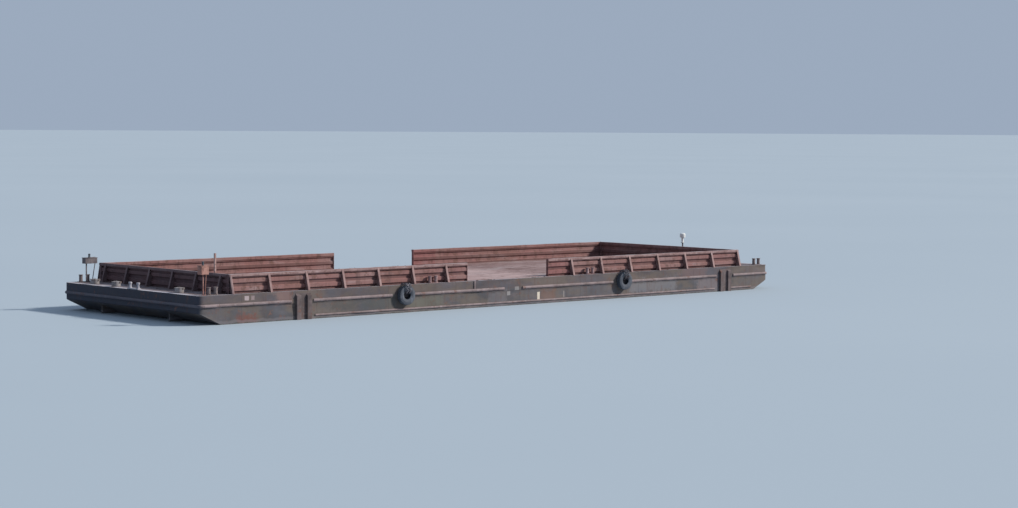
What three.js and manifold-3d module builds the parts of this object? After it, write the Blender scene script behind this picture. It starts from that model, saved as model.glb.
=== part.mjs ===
// A flat-decked cargo barge with raked ends and a low open cargo bin, as a half-size model.
// Every size is the real barge's, in millimetres, and the whole group is scaled at the end.
// X runs to the bow, Y to port and Z up; the origin is mid-length and mid-beam on the flat bottom.

import * as THREE from 'three';
import { mergeVertices } from 'three/addons/utils/BufferGeometryUtils.js';
import Module from 'manifold-3d';

const wasm = await Module();
wasm.setup();

const MODEL_SCALE = 1 / 2;
const GAP = 1; // left between pieces that touch

// Hull
const LENGTH = 60000;
const BEAM = 18000;
const DEPTH = 3660;
const HEADLOG_DEPTH = 1220;
const RAKE_LENGTH = 5200;
const RAKE_BEND_RADIUS = 4000;
const CORNER_RADIUS = 400;
const BILGE_RADIUS = 300;
const SKEG = { y: 4500, thickness: 120, front: 25900, back: 29500, bottom: 120 };
const WEAR_DECK = { aft: -26300, fore: 26250, half: 8300, thickness: 8 }; // doubler plate in the bin

// Bin walls: a strut every frame along the sides, from the stern to the bow
const FRAME_SPACING = 3344;
const FIRST_FRAME = -27050;
const LAST_FRAME = 16;
const WALL_HEIGHT = 1400;
const WALL_OVERRUN = 140; // past the first and last strut
const GAP_AFT_END = -4750; // where the side walls stop, either side of the loading gap
const GAP_FORE_END = 3840;
const LAST_AFT_FRAME = 6;
const FIRST_FORE_FRAME = 10;
const RIB_INSET = 450; // from the deck edge to the ribs' outer faces
const RECESS_INSET = 560;
const WALL_THICKNESS = 50;
const RIB_SLOPE = 60;
const WALL_RIBS = [
  { bottom: 130, top: 500 },
  { bottom: 720, top: 1080 },
];
const TOP_RAIL = { inset: 420, width: 240, bottom: 1160 };
const END_PLATE = 40;
const WALL_FOOT = 5; // the plate stops just above the deck, on its end plates

// Struts: a web, a sloping flange outside it, and a flat bar along the rail that ties the row together
const WEB_THICKNESS = 40;
const FLANGE = { width: 180, thickness: 40, foot: 10, top: 1370 };
const TIE_BAR = { outer: 380, bottom: 1230 };
const END_STRUT_SPACING = 3050;
const END_STRUTS = 6;

// Rub rails on the hull's sides and ends, measured down from the deck; their crowns are worn flat
const UPPER_RAIL = { drop: 740, out: 116, half: 120, strip: 12, stripHalf: 160 };
const LOWER_RAIL = { drop: 1830, out: 80, half: 80 };
const LADDER_RAIL = { x: -4390, half: 60, out: 60 };

// Doubled fender posts and hung tyre fenders
const POST = { width: 400, out: 190, top: 250, bottom: 2750, slope: 110, spacing: 950 };
const POST_PLATE = { width: 1350, thickness: 30, top: 180, bottom: 2850 };
const TYRE = { radius: 750, bore: 330, width: 430, segments: 18 };
const LINK = { width: 190, bar: 52, overlap: 36 };
const STRAND_OFFSET = 140;

// Deck fittings
const BITT = { radius: 137, height: 560, cap: 172, capHeight: 45, spacing: 600, plate: [1000, 390, 30] };
const LARGE_HATCH = { along: 900, across: 1500, height: 260 };
const ROUND_HATCH = { radius: 330, height: 330 };
const LID = { thickness: 36, overhang: 25, hingeReach: 60 };

const STEEL = {
  hull: { color: 0x5d5653, roughness: 0.85, metalness: 0.15 },
  bin: { color: 0x7d4c44, roughness: 0.9, metalness: 0.1 },
  strut: { color: 0x94706c, roughness: 0.85, metalness: 0.1 },
  rail: { color: 0x84716e, roughness: 0.8, metalness: 0.2 },
  post: { color: 0x5e4b4a, roughness: 0.85, metalness: 0.15 },
  mooring: { color: 0x6b5450, roughness: 0.8, metalness: 0.2 },
  chain: { color: 0x5a4b46, roughness: 0.75, metalness: 0.4 },
  stand: { color: 0x8d6d66, roughness: 0.8, metalness: 0.1 },
  hatch: { color: 0x8c8783, roughness: 0.75, metalness: 0.15 },
};
const RUBBER = { color: 0x2c3038, roughness: 0.9, metalness: 0 };
const WHITE_PAINT = { color: 0xd5d7d8, roughness: 0.5, metalness: 0 };
const LENS = { color: 0xb8b2a0, roughness: 0.25, metalness: 0 };

// A closed geometry as a solid that can be joined and cut, and back again
function solid(geometry) {
  const bare = geometry.clone();
  bare.deleteAttribute('normal');
  bare.deleteAttribute('uv');
  const merged = mergeVertices(bare, 1e-3);
  const mesh = new wasm.Mesh({
    numProp: 3,
    vertProperties: new Float32Array(merged.attributes.position.array),
    triVerts: new Uint32Array(merged.index.array),
  });
  return new wasm.Manifold(mesh);
}

function geometryOf(body) {
  const mesh = body.getMesh();
  const geometry = new THREE.BufferGeometry();
  geometry.setAttribute('position', new THREE.BufferAttribute(new Float32Array(mesh.vertProperties), 3));
  geometry.setIndex(new THREE.BufferAttribute(new Uint32Array(mesh.triVerts), 1));
  geometry.computeVertexNormals();
  return geometry;
}

function join(geometries) {
  return geometries.map(solid).reduce((whole, piece) => whole.add(piece));
}

// Straight solids from an outline of [a, b] points
function outline(points) {
  return new THREE.Shape(points.map(([a, b]) => new THREE.Vector2(a, b)));
}

function extrude(points, depth) {
  return new THREE.ExtrudeGeometry(outline(points), { depth, bevelEnabled: false });
}

// The outline is [y, z] and the solid runs along X from x0 to x1
function alongX(points, x0, x1) {
  const turn = new THREE.Matrix4().set(0, 0, 1, x0, 1, 0, 0, 0, 0, 1, 0, 0, 0, 0, 0, 1);
  return extrude(points, x1 - x0).applyMatrix4(turn);
}

// The outline is [x, z] and the solid runs along Y from y0 to y1
function alongY(points, y0, y1) {
  const turn = new THREE.Matrix4().set(1, 0, 0, 0, 0, 0, -1, y1, 0, 1, 0, 0, 0, 0, 0, 1);
  return extrude(points, y1 - y0).applyMatrix4(turn);
}

// The outline is [x, y] and the solid runs up from z0 to z1
function alongZ(points, z0, z1) {
  return extrude(points, z1 - z0).translate(0, 0, z0);
}

function block(x0, x1, y0, y1, z0, z1) {
  const box = new THREE.BoxGeometry(x1 - x0, y1 - y0, z1 - z0);
  return box.translate((x0 + x1) / 2, (y0 + y1) / 2, (z0 + z1) / 2);
}

// A turned solid about Z, from [radius, height] points that start and end on the axis
function turned(points, segments) {
  const profile = points.map(([radius, height]) => new THREE.Vector2(radius, height));
  return new THREE.LatheGeometry(profile, segments).rotateX(Math.PI / 2);
}

// A round bar between two points
function bar(from, to, radius, segments = 8) {
  const start = new THREE.Vector3(...from);
  const run = new THREE.Vector3(...to).sub(start);
  const cylinder = new THREE.CylinderGeometry(radius, radius, run.length(), segments);
  cylinder.translate(0, run.length() / 2, 0);
  const turn = new THREE.Quaternion().setFromUnitVectors(new THREE.Vector3(0, 1, 0), run.clone().normalize());
  return cylinder.applyQuaternion(turn).translate(start.x, start.y, start.z);
}

function arc(centreA, centreB, radius, fromDegrees, toDegrees, steps) {
  const points = [];
  for (let step = 0; step <= steps; step += 1) {
    const angle = THREE.MathUtils.degToRad(fromDegrees + (toDegrees - fromDegrees) * step / steps);
    points.push([centreA + radius * Math.cos(angle), centreB + radius * Math.sin(angle)]);
  }
  return points;
}

// Frames for the four deck edges: x along the edge, y inboard from it, z up from the deck
const barge = new THREE.Group();
const EDGES = [
  { name: 'starboard', turn: 0, x: 0, y: -BEAM / 2 },
  { name: 'port', turn: Math.PI, x: 0, y: BEAM / 2 },
  { name: 'stern', turn: -Math.PI / 2, x: -LENGTH / 2, y: 0 },
  { name: 'bow', turn: Math.PI / 2, x: LENGTH / 2, y: 0 },
];
const edge = {};
for (const { name, turn, x, y } of EDGES) {
  edge[name] = new THREE.Group();
  edge[name].position.set(x, y, DEPTH);
  edge[name].rotation.z = turn;
  barge.add(edge[name]);
}
const SIDES = [
  { side: 'starboard', forward: 1 },
  { side: 'port', forward: -1 },
];

function addPart(parent, name, geometry, material, x = 0, y = 0, z = 0) {
  const mesh = new THREE.Mesh(geometry, new THREE.MeshStandardMaterial(material));
  mesh.name = name;
  mesh.position.set(x, y, z);
  parent.add(mesh);
  return mesh;
}

function frameX(index) {
  return FIRST_FRAME + index * FRAME_SPACING;
}

// A stretch from ship station a to b, in the frame of a side whose x runs forward or aft
function stretch(forward, a, b) {
  return [Math.min(forward * a, forward * b), Math.max(forward * a, forward * b)];
}

// Hull: side view, plan and cross-section, each drawn as an outline, and what they share
function rakeBend(end) {
  const angle = Math.atan2(DEPTH - HEADLOG_DEPTH, RAKE_LENGTH);
  const tangent = RAKE_BEND_RADIUS * Math.tan(angle / 2);
  const x = end * (LENGTH / 2 - RAKE_LENGTH - tangent);
  const sweep = THREE.MathUtils.radToDeg(angle);
  const points = arc(x, RAKE_BEND_RADIUS, RAKE_BEND_RADIUS, -90, -90 + end * sweep, 4);
  return end > 0 ? points : points.reverse();
}

function hullGeometry() {
  const half = LENGTH / 2;
  const knuckle = DEPTH - HEADLOG_DEPTH;
  const sideView = [
    [-half, DEPTH], [-half, knuckle], ...rakeBend(-1), ...rakeBend(1), [half, knuckle], [half, DEPTH],
  ];
  const x = half - CORNER_RADIUS;
  const y = BEAM / 2 - CORNER_RADIUS;
  const plan = [
    ...arc(x, y, CORNER_RADIUS, 0, 90, 6), ...arc(-x, y, CORNER_RADIUS, 90, 180, 6),
    ...arc(-x, -y, CORNER_RADIUS, 180, 270, 6), ...arc(x, -y, CORNER_RADIUS, 270, 360, 6),
  ];
  const bilge = BEAM / 2 - BILGE_RADIUS;
  const section = [
    [-BEAM / 2, DEPTH], ...arc(-bilge, BILGE_RADIUS, BILGE_RADIUS, 180, 270, 3),
    ...arc(bilge, BILGE_RADIUS, BILGE_RADIUS, 270, 360, 3), [BEAM / 2, DEPTH],
  ];
  const body = solid(alongY(sideView, -BEAM / 2, BEAM / 2));
  const withPlan = body.intersect(solid(alongZ(plan, 0, DEPTH)));
  const { aft, fore, half: wearHalf, thickness } = WEAR_DECK;
  const wearDeck = block(aft, fore, -wearHalf, wearHalf, DEPTH - BILGE_RADIUS, DEPTH + thickness);
  return geometryOf(withPlan.intersect(solid(alongX(section, -half, half))).add(solid(wearDeck)));
}

function rakeHeight(fromMiddle) {
  const knee = LENGTH / 2 - RAKE_LENGTH;
  return (fromMiddle - knee) / RAKE_LENGTH * (DEPTH - HEADLOG_DEPTH);
}

function skegGeometry() {
  const half = SKEG.thickness / 2;
  const sideView = [
    [-SKEG.front, rakeHeight(SKEG.front) - GAP], [-SKEG.front, SKEG.bottom],
    [-SKEG.back, SKEG.bottom], [-SKEG.back, rakeHeight(SKEG.back) - GAP],
  ];
  return alongY(sideView, -half, half);
}

addPart(barge, 'hull', hullGeometry(), STEEL.hull);
addPart(barge, 'skeg_starboard', skegGeometry(), STEEL.hull, 0, -SKEG.y);
addPart(barge, 'skeg_port', skegGeometry(), STEEL.hull, 0, SKEG.y);

// Bin walls: a ribbed plate under a box rail, closed by a plate at each end
function wallFace(offset) {
  const points = [[RECESS_INSET + offset, WALL_FOOT]];
  for (const rib of WALL_RIBS) {
    points.push([RECESS_INSET + offset, rib.bottom]);
    points.push([RIB_INSET + offset, rib.bottom + RIB_SLOPE]);
    points.push([RIB_INSET + offset, rib.top - RIB_SLOPE]);
    points.push([RECESS_INSET + offset, rib.top]);
  }
  points.push([RECESS_INSET + offset, TOP_RAIL.bottom]);
  return points;
}

function wallGeometry(x0, x1) {
  const railInner = TOP_RAIL.inset + TOP_RAIL.width;
  const profile = [
    ...wallFace(0),
    [TOP_RAIL.inset, TOP_RAIL.bottom], [TOP_RAIL.inset, WALL_HEIGHT],
    [railInner, WALL_HEIGHT], [railInner, TOP_RAIL.bottom],
    ...wallFace(WALL_THICKNESS).reverse(),
  ];
  return geometryOf(join([
    alongX(profile, x0, x1),
    block(x0 - 1, x0 + END_PLATE, TOP_RAIL.inset - 5, railInner + 5, GAP, WALL_HEIGHT + 5),
    block(x1 - END_PLATE, x1 + 1, TOP_RAIL.inset - 5, railInner + 5, GAP, WALL_HEIGHT + 5),
  ]));
}

function strutSolids(x) {
  const railFace = TOP_RAIL.inset - GAP;
  const outer = FLANGE.foot + FLANGE.thickness;
  const web = [
    [outer, GAP], [railFace - FLANGE.thickness / 2, FLANGE.top], [railFace, FLANGE.top],
    [railFace, TOP_RAIL.bottom - GAP],
    ...wallFace(-GAP).reverse().map(([inset, height]) => [inset, Math.min(height, TOP_RAIL.bottom - GAP)]),
  ];
  const flange = [
    [FLANGE.foot, GAP], [outer + 10, GAP], [railFace, FLANGE.top], [railFace - FLANGE.thickness, FLANGE.top],
  ];
  return [
    alongX(web, x - WEB_THICKNESS / 2, x + WEB_THICKNESS / 2),
    alongX(flange, x - FLANGE.width / 2, x + FLANGE.width / 2),
  ];
}

function strutRowGeometry(stations, x0, x1) {
  const tieBar = block(x0, x1, TIE_BAR.outer, TOP_RAIL.inset - 5 - GAP, TIE_BAR.bottom, FLANGE.top);
  return geometryOf(join([tieBar, ...stations.flatMap(strutSolids)]));
}

const firstStrut = frameX(0) - WALL_OVERRUN;
const lastStrut = frameX(LAST_FRAME) + WALL_OVERRUN;
const WALL_RUNS = [
  { part: 'aft', from: firstStrut, to: GAP_AFT_END, first: 0, last: LAST_AFT_FRAME },
  { part: 'fore', from: GAP_FORE_END, to: lastStrut, first: FIRST_FORE_FRAME, last: LAST_FRAME },
];
for (const { side, forward } of SIDES) {
  for (const { part, from, to, first, last } of WALL_RUNS) {
    const [x0, x1] = stretch(forward, from, to);
    const stations = [];
    for (let index = first; index <= last; index += 1) {
      stations.push(forward * frameX(index));
    }
    addPart(edge[side], `bin_wall_${side}_${part}`, wallGeometry(x0, x1), STEEL.bin);
    addPart(edge[side], `struts_${side}_${part}`, strutRowGeometry(stations, x0, x1), STEEL.strut);
  }
}

// End walls stand between the side walls' inner faces
const endWallHalf = BEAM / 2 - TOP_RAIL.inset - TOP_RAIL.width - 10;
const END_WALLS = [
  { end: 'stern', ribFace: LENGTH / 2 + firstStrut },
  { end: 'bow', ribFace: LENGTH / 2 - lastStrut },
];
for (const { end, ribFace } of END_WALLS) {
  const stations = [];
  for (let index = 0; index < END_STRUTS; index += 1) {
    stations.push((index - (END_STRUTS - 1) / 2) * END_STRUT_SPACING);
  }
  const wall = wallGeometry(-endWallHalf, endWallHalf);
  const struts = strutRowGeometry(stations, -endWallHalf, endWallHalf);
  const inboard = ribFace - TOP_RAIL.inset;
  addPart(edge[end], `bin_wall_${end}`, wall, STEEL.bin, 0, inboard);
  addPart(edge[end], `struts_${end}`, struts, STEEL.strut, 0, inboard);
}

// Rub rails: half-round bars on a flat strip, broken at the fender posts and the tyres
function railSection({ drop, out, half }) {
  return arc(0, 0, 1, -90, 90, 5).map(([a, b]) => [-GAP - out * a, b * half - drop]);
}

const cornerTangent = LENGTH / 2 - CORNER_RADIUS - GAP;
const UPPER_RUNS = [
  { from: -cornerTangent, to: frameX(1.5) },
  { from: frameX(2.1), to: frameX(4.3) },
  { from: frameX(4.9), to: frameX(7.7) },
  { from: frameX(8.28), to: frameX(11.3) },
  { from: frameX(11.9), to: frameX(15.05) },
  { from: frameX(15.7), to: cornerTangent },
];
const LOWER_RUN = { from: frameX(2.15), to: frameX(15) };
const LOWER_BOW_RUN = { from: frameX(15.55), to: frameX(16.4) };

function sideRailGeometry(forward) {
  const { drop, strip, stripHalf } = UPPER_RAIL;
  const pieces = [block(-cornerTangent, cornerTangent, -strip, -GAP, -drop - stripHalf, -drop + stripHalf)];
  for (const { from, to } of UPPER_RUNS) {
    pieces.push(alongX(railSection(UPPER_RAIL), ...stretch(forward, from, to)));
  }
  const ladderX = forward * LADDER_RAIL.x;
  const { half, out } = LADDER_RAIL;
  pieces.push(block(ladderX - half, ladderX + half, -out, -GAP, -drop, -GAP));
  return geometryOf(join(pieces));
}

// A rail round an end, swept along the straight edge and both rounded corners
function endRailGeometry() {
  const section = railSection(UPPER_RAIL);
  const corner = BEAM / 2 - CORNER_RADIUS;
  const path = [
    ...arc(0, 0, 1, 180, 270, 6).map(([nx, ny]) => ({ x: -corner, nx, ny })),
    ...arc(0, 0, 1, 270, 360, 6).map(([nx, ny]) => ({ x: corner, nx, ny })),
  ];
  const positions = [];
  for (const { x, nx, ny } of path) {
    for (const [y, z] of section) {
      const reach = CORNER_RADIUS - y;
      positions.push(x + nx * reach, CORNER_RADIUS + ny * reach, z);
    }
  }
  const count = section.length;
  const indices = [];
  for (let ring = 0; ring + 1 < path.length; ring += 1) {
    for (let point = 0; point < count; point += 1) {
      const a = ring * count + point;
      const b = ring * count + (point + 1) % count;
      indices.push(a, a + count, b, b, a + count, b + count);
    }
  }
  const last = (path.length - 1) * count;
  for (let point = 1; point + 1 < count; point += 1) {
    indices.push(0, point, point + 1);
    indices.push(last, last + point + 1, last + point);
  }
  const geometry = new THREE.BufferGeometry();
  geometry.setAttribute('position', new THREE.BufferAttribute(new Float32Array(positions), 3));
  geometry.setIndex(indices);
  geometry.computeVertexNormals();
  return geometry;
}

for (const { side, forward } of SIDES) {
  addPart(edge[side], `rub_rail_${side}`, sideRailGeometry(forward), STEEL.rail);
  const lowerRail = alongX(railSection(LOWER_RAIL), ...stretch(forward, LOWER_RUN.from, LOWER_RUN.to));
  addPart(edge[side], `lower_rail_${side}`, lowerRail, STEEL.rail);
}
for (const end of ['stern', 'bow']) {
  addPart(edge[end], `rub_rail_${end}`, endRailGeometry(), STEEL.rail);
}

// Fender posts: two uprights on a plate that is let in over the rub rail's strip
function fenderPostGeometry(x, railRun) {
  const { width, out, top, bottom, slope, spacing } = POST;
  const uprightSide = [[-GAP, -top], [-out, -top - slope], [-out, -bottom + slope], [-GAP, -bottom]];
  const plateHalf = POST_PLATE.width / 2;
  const { thickness } = POST_PLATE;
  const pieces = [block(x - plateHalf, x + plateHalf, -thickness, -GAP, -POST_PLATE.bottom, -POST_PLATE.top)];
  for (const offset of [-spacing / 2, spacing / 2]) {
    pieces.push(alongX(uprightSide, x + offset - width / 2, x + offset + width / 2));
  }
  if (railRun) {
    pieces.push(alongX(railSection(LOWER_RAIL), ...railRun));
  }
  const { drop, strip, stripHalf } = UPPER_RAIL;
  const letIn = block(
    x - LENGTH, x + LENGTH, -strip - GAP, 0, -drop - stripHalf - GAP, -drop + stripHalf + GAP,
  );
  return geometryOf(join(pieces).subtract(solid(letIn)));
}

const POSTS = [
  { place: 'aft', x: -20950, lowerRail: null },
  { place: 'fore', x: 24400, lowerRail: LOWER_BOW_RUN },
];
for (const { side, forward } of SIDES) {
  for (const { place, x, lowerRail } of POSTS) {
    const railRun = lowerRail ? stretch(forward, lowerRail.from, lowerRail.to) : null;
    addPart(edge[side], `fender_posts_${side}_${place}`, fenderPostGeometry(forward * x, railRun), STEEL.post);
  }
}

// Tyre fenders: an open tyre flat against the side, hung on two strands of chain
function tyreGeometry() {
  const { radius, bore, width, segments } = TYRE;
  const half = width / 2;
  const profile = [
    [radius, -0.7 * half], [radius, 0.7 * half], [0.95 * radius, half], [0.62 * radius, 0.97 * half],
    [bore, 0.68 * half], [bore, 0.5 * half], [0.62 * radius, 0.72 * half], [0.86 * radius, 0.6 * half],
    [0.86 * radius, -0.6 * half], [0.62 * radius, -0.72 * half], [bore, -0.5 * half], [bore, -0.68 * half],
    [0.62 * radius, -0.97 * half], [0.95 * radius, -half], [radius, -0.7 * half],
  ];
  const points = profile.map(([r, y]) => new THREE.Vector2(r, y));
  return new THREE.LatheGeometry(points, segments);
}

function linkGeometry(pitch) {
  const tube = LINK.bar / 2;
  const bend = LINK.width / 2 - tube;
  const straight = (pitch + LINK.overlap - LINK.width) / 2;
  const link = new THREE.TorusGeometry(bend, tube, 4, 6).rotateZ(Math.PI / 6);
  const position = link.attributes.position;
  for (let index = 0; index < position.count; index += 1) {
    const x = position.getX(index);
    position.setX(index, x + Math.sign(x) * straight);
  }
  return link;
}

// The strand leaves an eye on the deck, lies over the tyre's tread and hangs down before its bore
const STRAND_EYE = [70, 75];
const LINKS_PER_STRAND = 5;

function strandRoute(drop) {
  const tread = TYRE.radius - drop;
  return [
    STRAND_EYE, [-130, Math.max(80, tread + 120)], [-450, tread + 110], [-600, tread - 20],
    [-612, tread - 300], [-600, tread - 500], [-540, tread - 650],
  ];
}

function strandGeometry(x, drop) {
  const route = new THREE.CurvePath();
  const points = strandRoute(drop).map(([y, z]) => new THREE.Vector3(x, y, z));
  for (let index = 0; index + 1 < points.length; index += 1) {
    route.add(new THREE.LineCurve3(points[index], points[index + 1]));
  }
  const ends = route.getSpacedPoints(LINKS_PER_STRAND);
  const links = [];
  for (let index = 0; index < LINKS_PER_STRAND; index += 1) {
    const run = ends[index + 1].clone().sub(ends[index]);
    const link = linkGeometry(run.length()).rotateX(index % 2 ? Math.PI / 2 : 0);
    const turn = new THREE.Quaternion().setFromUnitVectors(new THREE.Vector3(1, 0, 0), run.normalize());
    const middle = ends[index].clone().add(ends[index + 1]).multiplyScalar(0.5);
    links.push(link.applyQuaternion(turn).translate(middle.x, middle.y, middle.z));
  }
  return links;
}

function chainGeometry(drop) {
  const eyes = [-STRAND_OFFSET, STRAND_OFFSET].map((x) => block(x - 25, x + 25, 20, 190, GAP, 150));
  const plate = block(-STRAND_OFFSET - 90, STRAND_OFFSET + 90, 10, 210, GAP, 25);
  const strands = [-STRAND_OFFSET, STRAND_OFFSET].flatMap((x) => strandGeometry(x, drop));
  return geometryOf(join([plate, ...eyes, ...strands]));
}

const TYRES = [
  { place: 'aft', x: -11440, drop: 760 },
  { place: 'fore', x: 11890, drop: 650 },
];
for (const { side, forward } of SIDES) {
  for (const { place, x, drop } of TYRES) {
    const out = UPPER_RAIL.strip + 2 * GAP + TYRE.width / 2;
    addPart(edge[side], `tyre_fender_${side}_${place}`, tyreGeometry(), RUBBER, forward * x, -out, -drop);
    addPart(edge[side], `fender_chain_${side}_${place}`, chainGeometry(drop), STEEL.chain, forward * x);
  }
}

// Double bitts on the deck edge
function bittGeometry() {
  const { radius, height, cap, capHeight, spacing, plate } = BITT;
  const post = [
    [0, GAP], [radius, GAP], [radius, height - capHeight], [cap, height - capHeight], [cap, height], [0, height],
  ];
  const [length, width, thickness] = plate;
  const posts = [-spacing / 2, spacing / 2].map((x) => turned(post, 12).translate(x, 0, 0));
  return geometryOf(join([block(-length / 2, length / 2, -width / 2, width / 2, GAP, thickness), ...posts]));
}

const BITTS = [
  { place: 'stern', x: -28560, inset: 480 },
  { place: 'aft', x: -8450, inset: 215 },
  { place: 'fore', x: 8330, inset: 215 },
  { place: 'bow', x: 29020, inset: 480 },
];
for (const { side, forward } of SIDES) {
  for (const { place, x, inset } of BITTS) {
    addPart(edge[side], `bitts_${side}_${place}`, bittGeometry(), STEEL.mooring, forward * x, inset);
  }
}

// An open chock on the stern's edge and two tow brackets on the fore deck
function chockGeometry() {
  const horn = [[0, GAP], [110, GAP], [95, 330], [135, 400], [135, 500], [0, 520]];
  const horns = [-525, 525].map((x) => turned(horn, 12).translate(x, 0, 0));
  return geometryOf(join([block(-700, 700, -150, 150, GAP, 90), ...horns]));
}

function towBracketGeometry() {
  const cheek = [[-260, GAP], [-260, 120], [-120, 430], [120, 430], [260, 120], [260, GAP]];
  return geometryOf(join([
    block(-350, 350, -280, 280, GAP, 45),
    alongY(cheek, 110, 170),
    alongY(cheek, -170, -110),
    bar([0, -210, 310], [0, 210, 310], 60, 12),
  ]));
}

addPart(edge.stern, 'stern_chock', chockGeometry(), STEEL.mooring, 460, 160);
addPart(barge, 'tow_bracket_starboard', towBracketGeometry(), STEEL.mooring, 28900, -4200, DEPTH);
addPart(barge, 'tow_bracket_port', towBracketGeometry(), STEEL.mooring, 28900, 4200, DEPTH);

// Access hatches: an open coaming and a hinged lid whose hinge is on the side nearest the bin
function hingeLugs(face, hinge, underside, ys) {
  const lugHalf = 26;
  const shoulder = underside - 12;
  const side = [
    [face - 40, hinge.z - 120], [hinge.x + lugHalf, hinge.z - 120], [hinge.x + lugHalf, hinge.z + lugHalf],
    [hinge.x - lugHalf, hinge.z + lugHalf], [hinge.x - lugHalf, shoulder], [face - 40, shoulder],
  ];
  return ys.flatMap((y) => [-82, 82].map((offset) => alongY(side, y + offset - 12, y + offset + 12)));
}

function lidStraps(hingeX, hingeZ, ys) {
  const straps = [];
  for (const y of ys) {
    straps.push(bar([hingeX, y - 55, hingeZ], [hingeX, y + 55, hingeZ], 24, 10));
    straps.push(block(hingeX - 160, hingeX, y - 40, y + 40, hingeZ - 2, hingeZ + 20));
  }
  return straps;
}

const HATCH_WALL = 20;

function largeHatch() {
  const { along, across, height } = LARGE_HATCH;
  const x = along / 2;
  const y = across / 2;
  const hinge = { x: x + LID.hingeReach, z: height + LID.thickness / 2 + GAP };
  const ys = [-across / 4, across / 4];
  const { overhang, thickness } = LID;
  const underside = height + GAP;
  const inside = block(
    -x + HATCH_WALL, x - HATCH_WALL, -y + HATCH_WALL, y - HATCH_WALL, -height, 2 * height,
  );
  const lugs = hingeLugs(x, hinge, underside, ys);
  const coaming = join([block(-x, x, -y, y, GAP, height), ...lugs]).subtract(solid(inside));
  const lid = join([
    block(-x - overhang, x + 5, -y - overhang, y + overhang, underside, underside + thickness),
    block(-x + 60, x - 60, -30, 30, underside + thickness - 1, underside + thickness + 30),
    ...lidStraps(hinge.x, hinge.z, ys),
  ]);
  return { coaming: geometryOf(coaming), lid: geometryOf(lid) };
}

function roundHatch() {
  const { radius, height } = ROUND_HATCH;
  const { overhang, thickness } = LID;
  const underside = height + GAP;
  const hinge = { x: radius + LID.hingeReach, z: height + LID.thickness / 2 + GAP };
  const inner = radius - HATCH_WALL;
  const ring = new THREE.LatheGeometry([
    new THREE.Vector2(inner, GAP), new THREE.Vector2(radius, GAP),
    new THREE.Vector2(radius, height), new THREE.Vector2(inner, height), new THREE.Vector2(inner, GAP),
  ], 20).rotateX(Math.PI / 2);
  const bore = new THREE.CylinderGeometry(inner, inner, 3 * height, 20).rotateX(Math.PI / 2);
  const lugs = join(hingeLugs(radius, hinge, underside, [0])).subtract(solid(bore));
  const coaming = solid(ring).add(lugs);
  const rim = radius + 5;
  const dome = [
    [0, underside], [rim, underside], [rim, underside + thickness], [0.7 * rim, underside + 1.6 * thickness],
    [0, underside + 1.9 * thickness],
  ];
  const lid = join([
    turned(dome, 20),
    block(-rim - overhang, -rim + 60, -50, 50, underside + 4, underside + thickness - 4),
    ...lidStraps(hinge.x, hinge.z, [0]),
  ]);
  return { coaming: geometryOf(coaming), lid: geometryOf(lid) };
}

const HATCHES = [
  { place: 'stern_centre', make: roundHatch, x: -29350, y: 2750, turn: 0 },
  { place: 'stern_starboard', make: roundHatch, x: -29200, y: -5350, turn: 0 },
  { place: 'stern_port', make: roundHatch, x: -29200, y: 5950, turn: 0 },
  { place: 'bow_centre', make: largeHatch, x: 28900, y: -1450, turn: Math.PI },
];
for (const { place, make, x, y, turn } of HATCHES) {
  const { coaming, lid } = make();
  addPart(barge, `hatch_coaming_${place}`, coaming, STEEL.hatch, x, y, DEPTH).rotation.z = turn;
  addPart(barge, `hatch_lid_${place}`, lid, STEEL.hatch, x, y, DEPTH).rotation.z = turn;
}

// Light stands on the stern's corners: a post and a raked brace under a battery box
function lightStandGeometry({ boxFrom, boxTo, boxHalf, boxBottom, boxTop, braceTop, braceFoot }) {
  return geometryOf(join([
    block(-130, 130, -130, 130, GAP, 20),
    bar([0, 0, 10], [0, 0, boxBottom + 10], 50, 10),
    bar([braceFoot, 0, 10], [braceTop, 0, boxBottom + 10], 32, 8),
    block(braceFoot - 70, braceFoot + 70, -70, 70, GAP, 18),
    block(-130, braceFoot + 70, -40, 40, GAP, 16),
    block(boxFrom, boxTo, -boxHalf, boxHalf, boxBottom, boxTop),
    block(boxFrom - 30, boxTo + 30, -boxHalf - 30, boxHalf + 30, boxTop - 30, boxTop),
  ]));
}

function lampGeometry() {
  const body = [
    [0, GAP], [95, GAP], [95, 50], [70, 60], [70, 210], [95, 220], [95, 260], [40, 300], [0, 300],
  ];
  return turned(body, 12);
}

const LIGHT_STANDS = [
  { side: 'starboard', x: -29340, y: -8540, boxFrom: -300, boxTo: 320, boxHalf: 260, boxBottom: 1480,
    boxTop: 2120, braceTop: 260, braceFoot: 160, lampX: 0 },
  { side: 'port', x: -28690, y: 8000, boxFrom: -220, boxTo: 820, boxHalf: 240, boxBottom: 1420,
    boxTop: 1870, braceTop: 760, braceFoot: 500, lampX: 260 },
];
for (const stand of LIGHT_STANDS) {
  const { side, x, y, boxTop, lampX } = stand;
  addPart(barge, `light_stand_${side}`, lightStandGeometry(stand), STEEL.stand, x, y, DEPTH);
  addPart(barge, `stern_lamp_${side}`, lampGeometry(), LENS, x + lampX, y, DEPTH + boxTop);
}

// The bow light: a slim mast with two stays and a white lantern on it
const MAST = { x: 28300, y: -320, height: 1620, radius: 55 };

function mastGeometry() {
  const { height, radius } = MAST;
  return geometryOf(join([
    block(-180, 180, -180, 180, GAP, 25),
    bar([0, 0, 10], [0, 0, height], radius, 10),
    bar([-600, 0, 28], [0, 0, 1100], 28, 6),
    bar([0, 520, 28], [0, 0, 1100], 28, 6),
    block(-680, -100, -45, 45, GAP, 22),
    block(-45, 45, 100, 600, GAP, 22),
    turned([[0, height - 30], [150, height - 30], [150, height], [0, height]], 12),
  ]));
}

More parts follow.
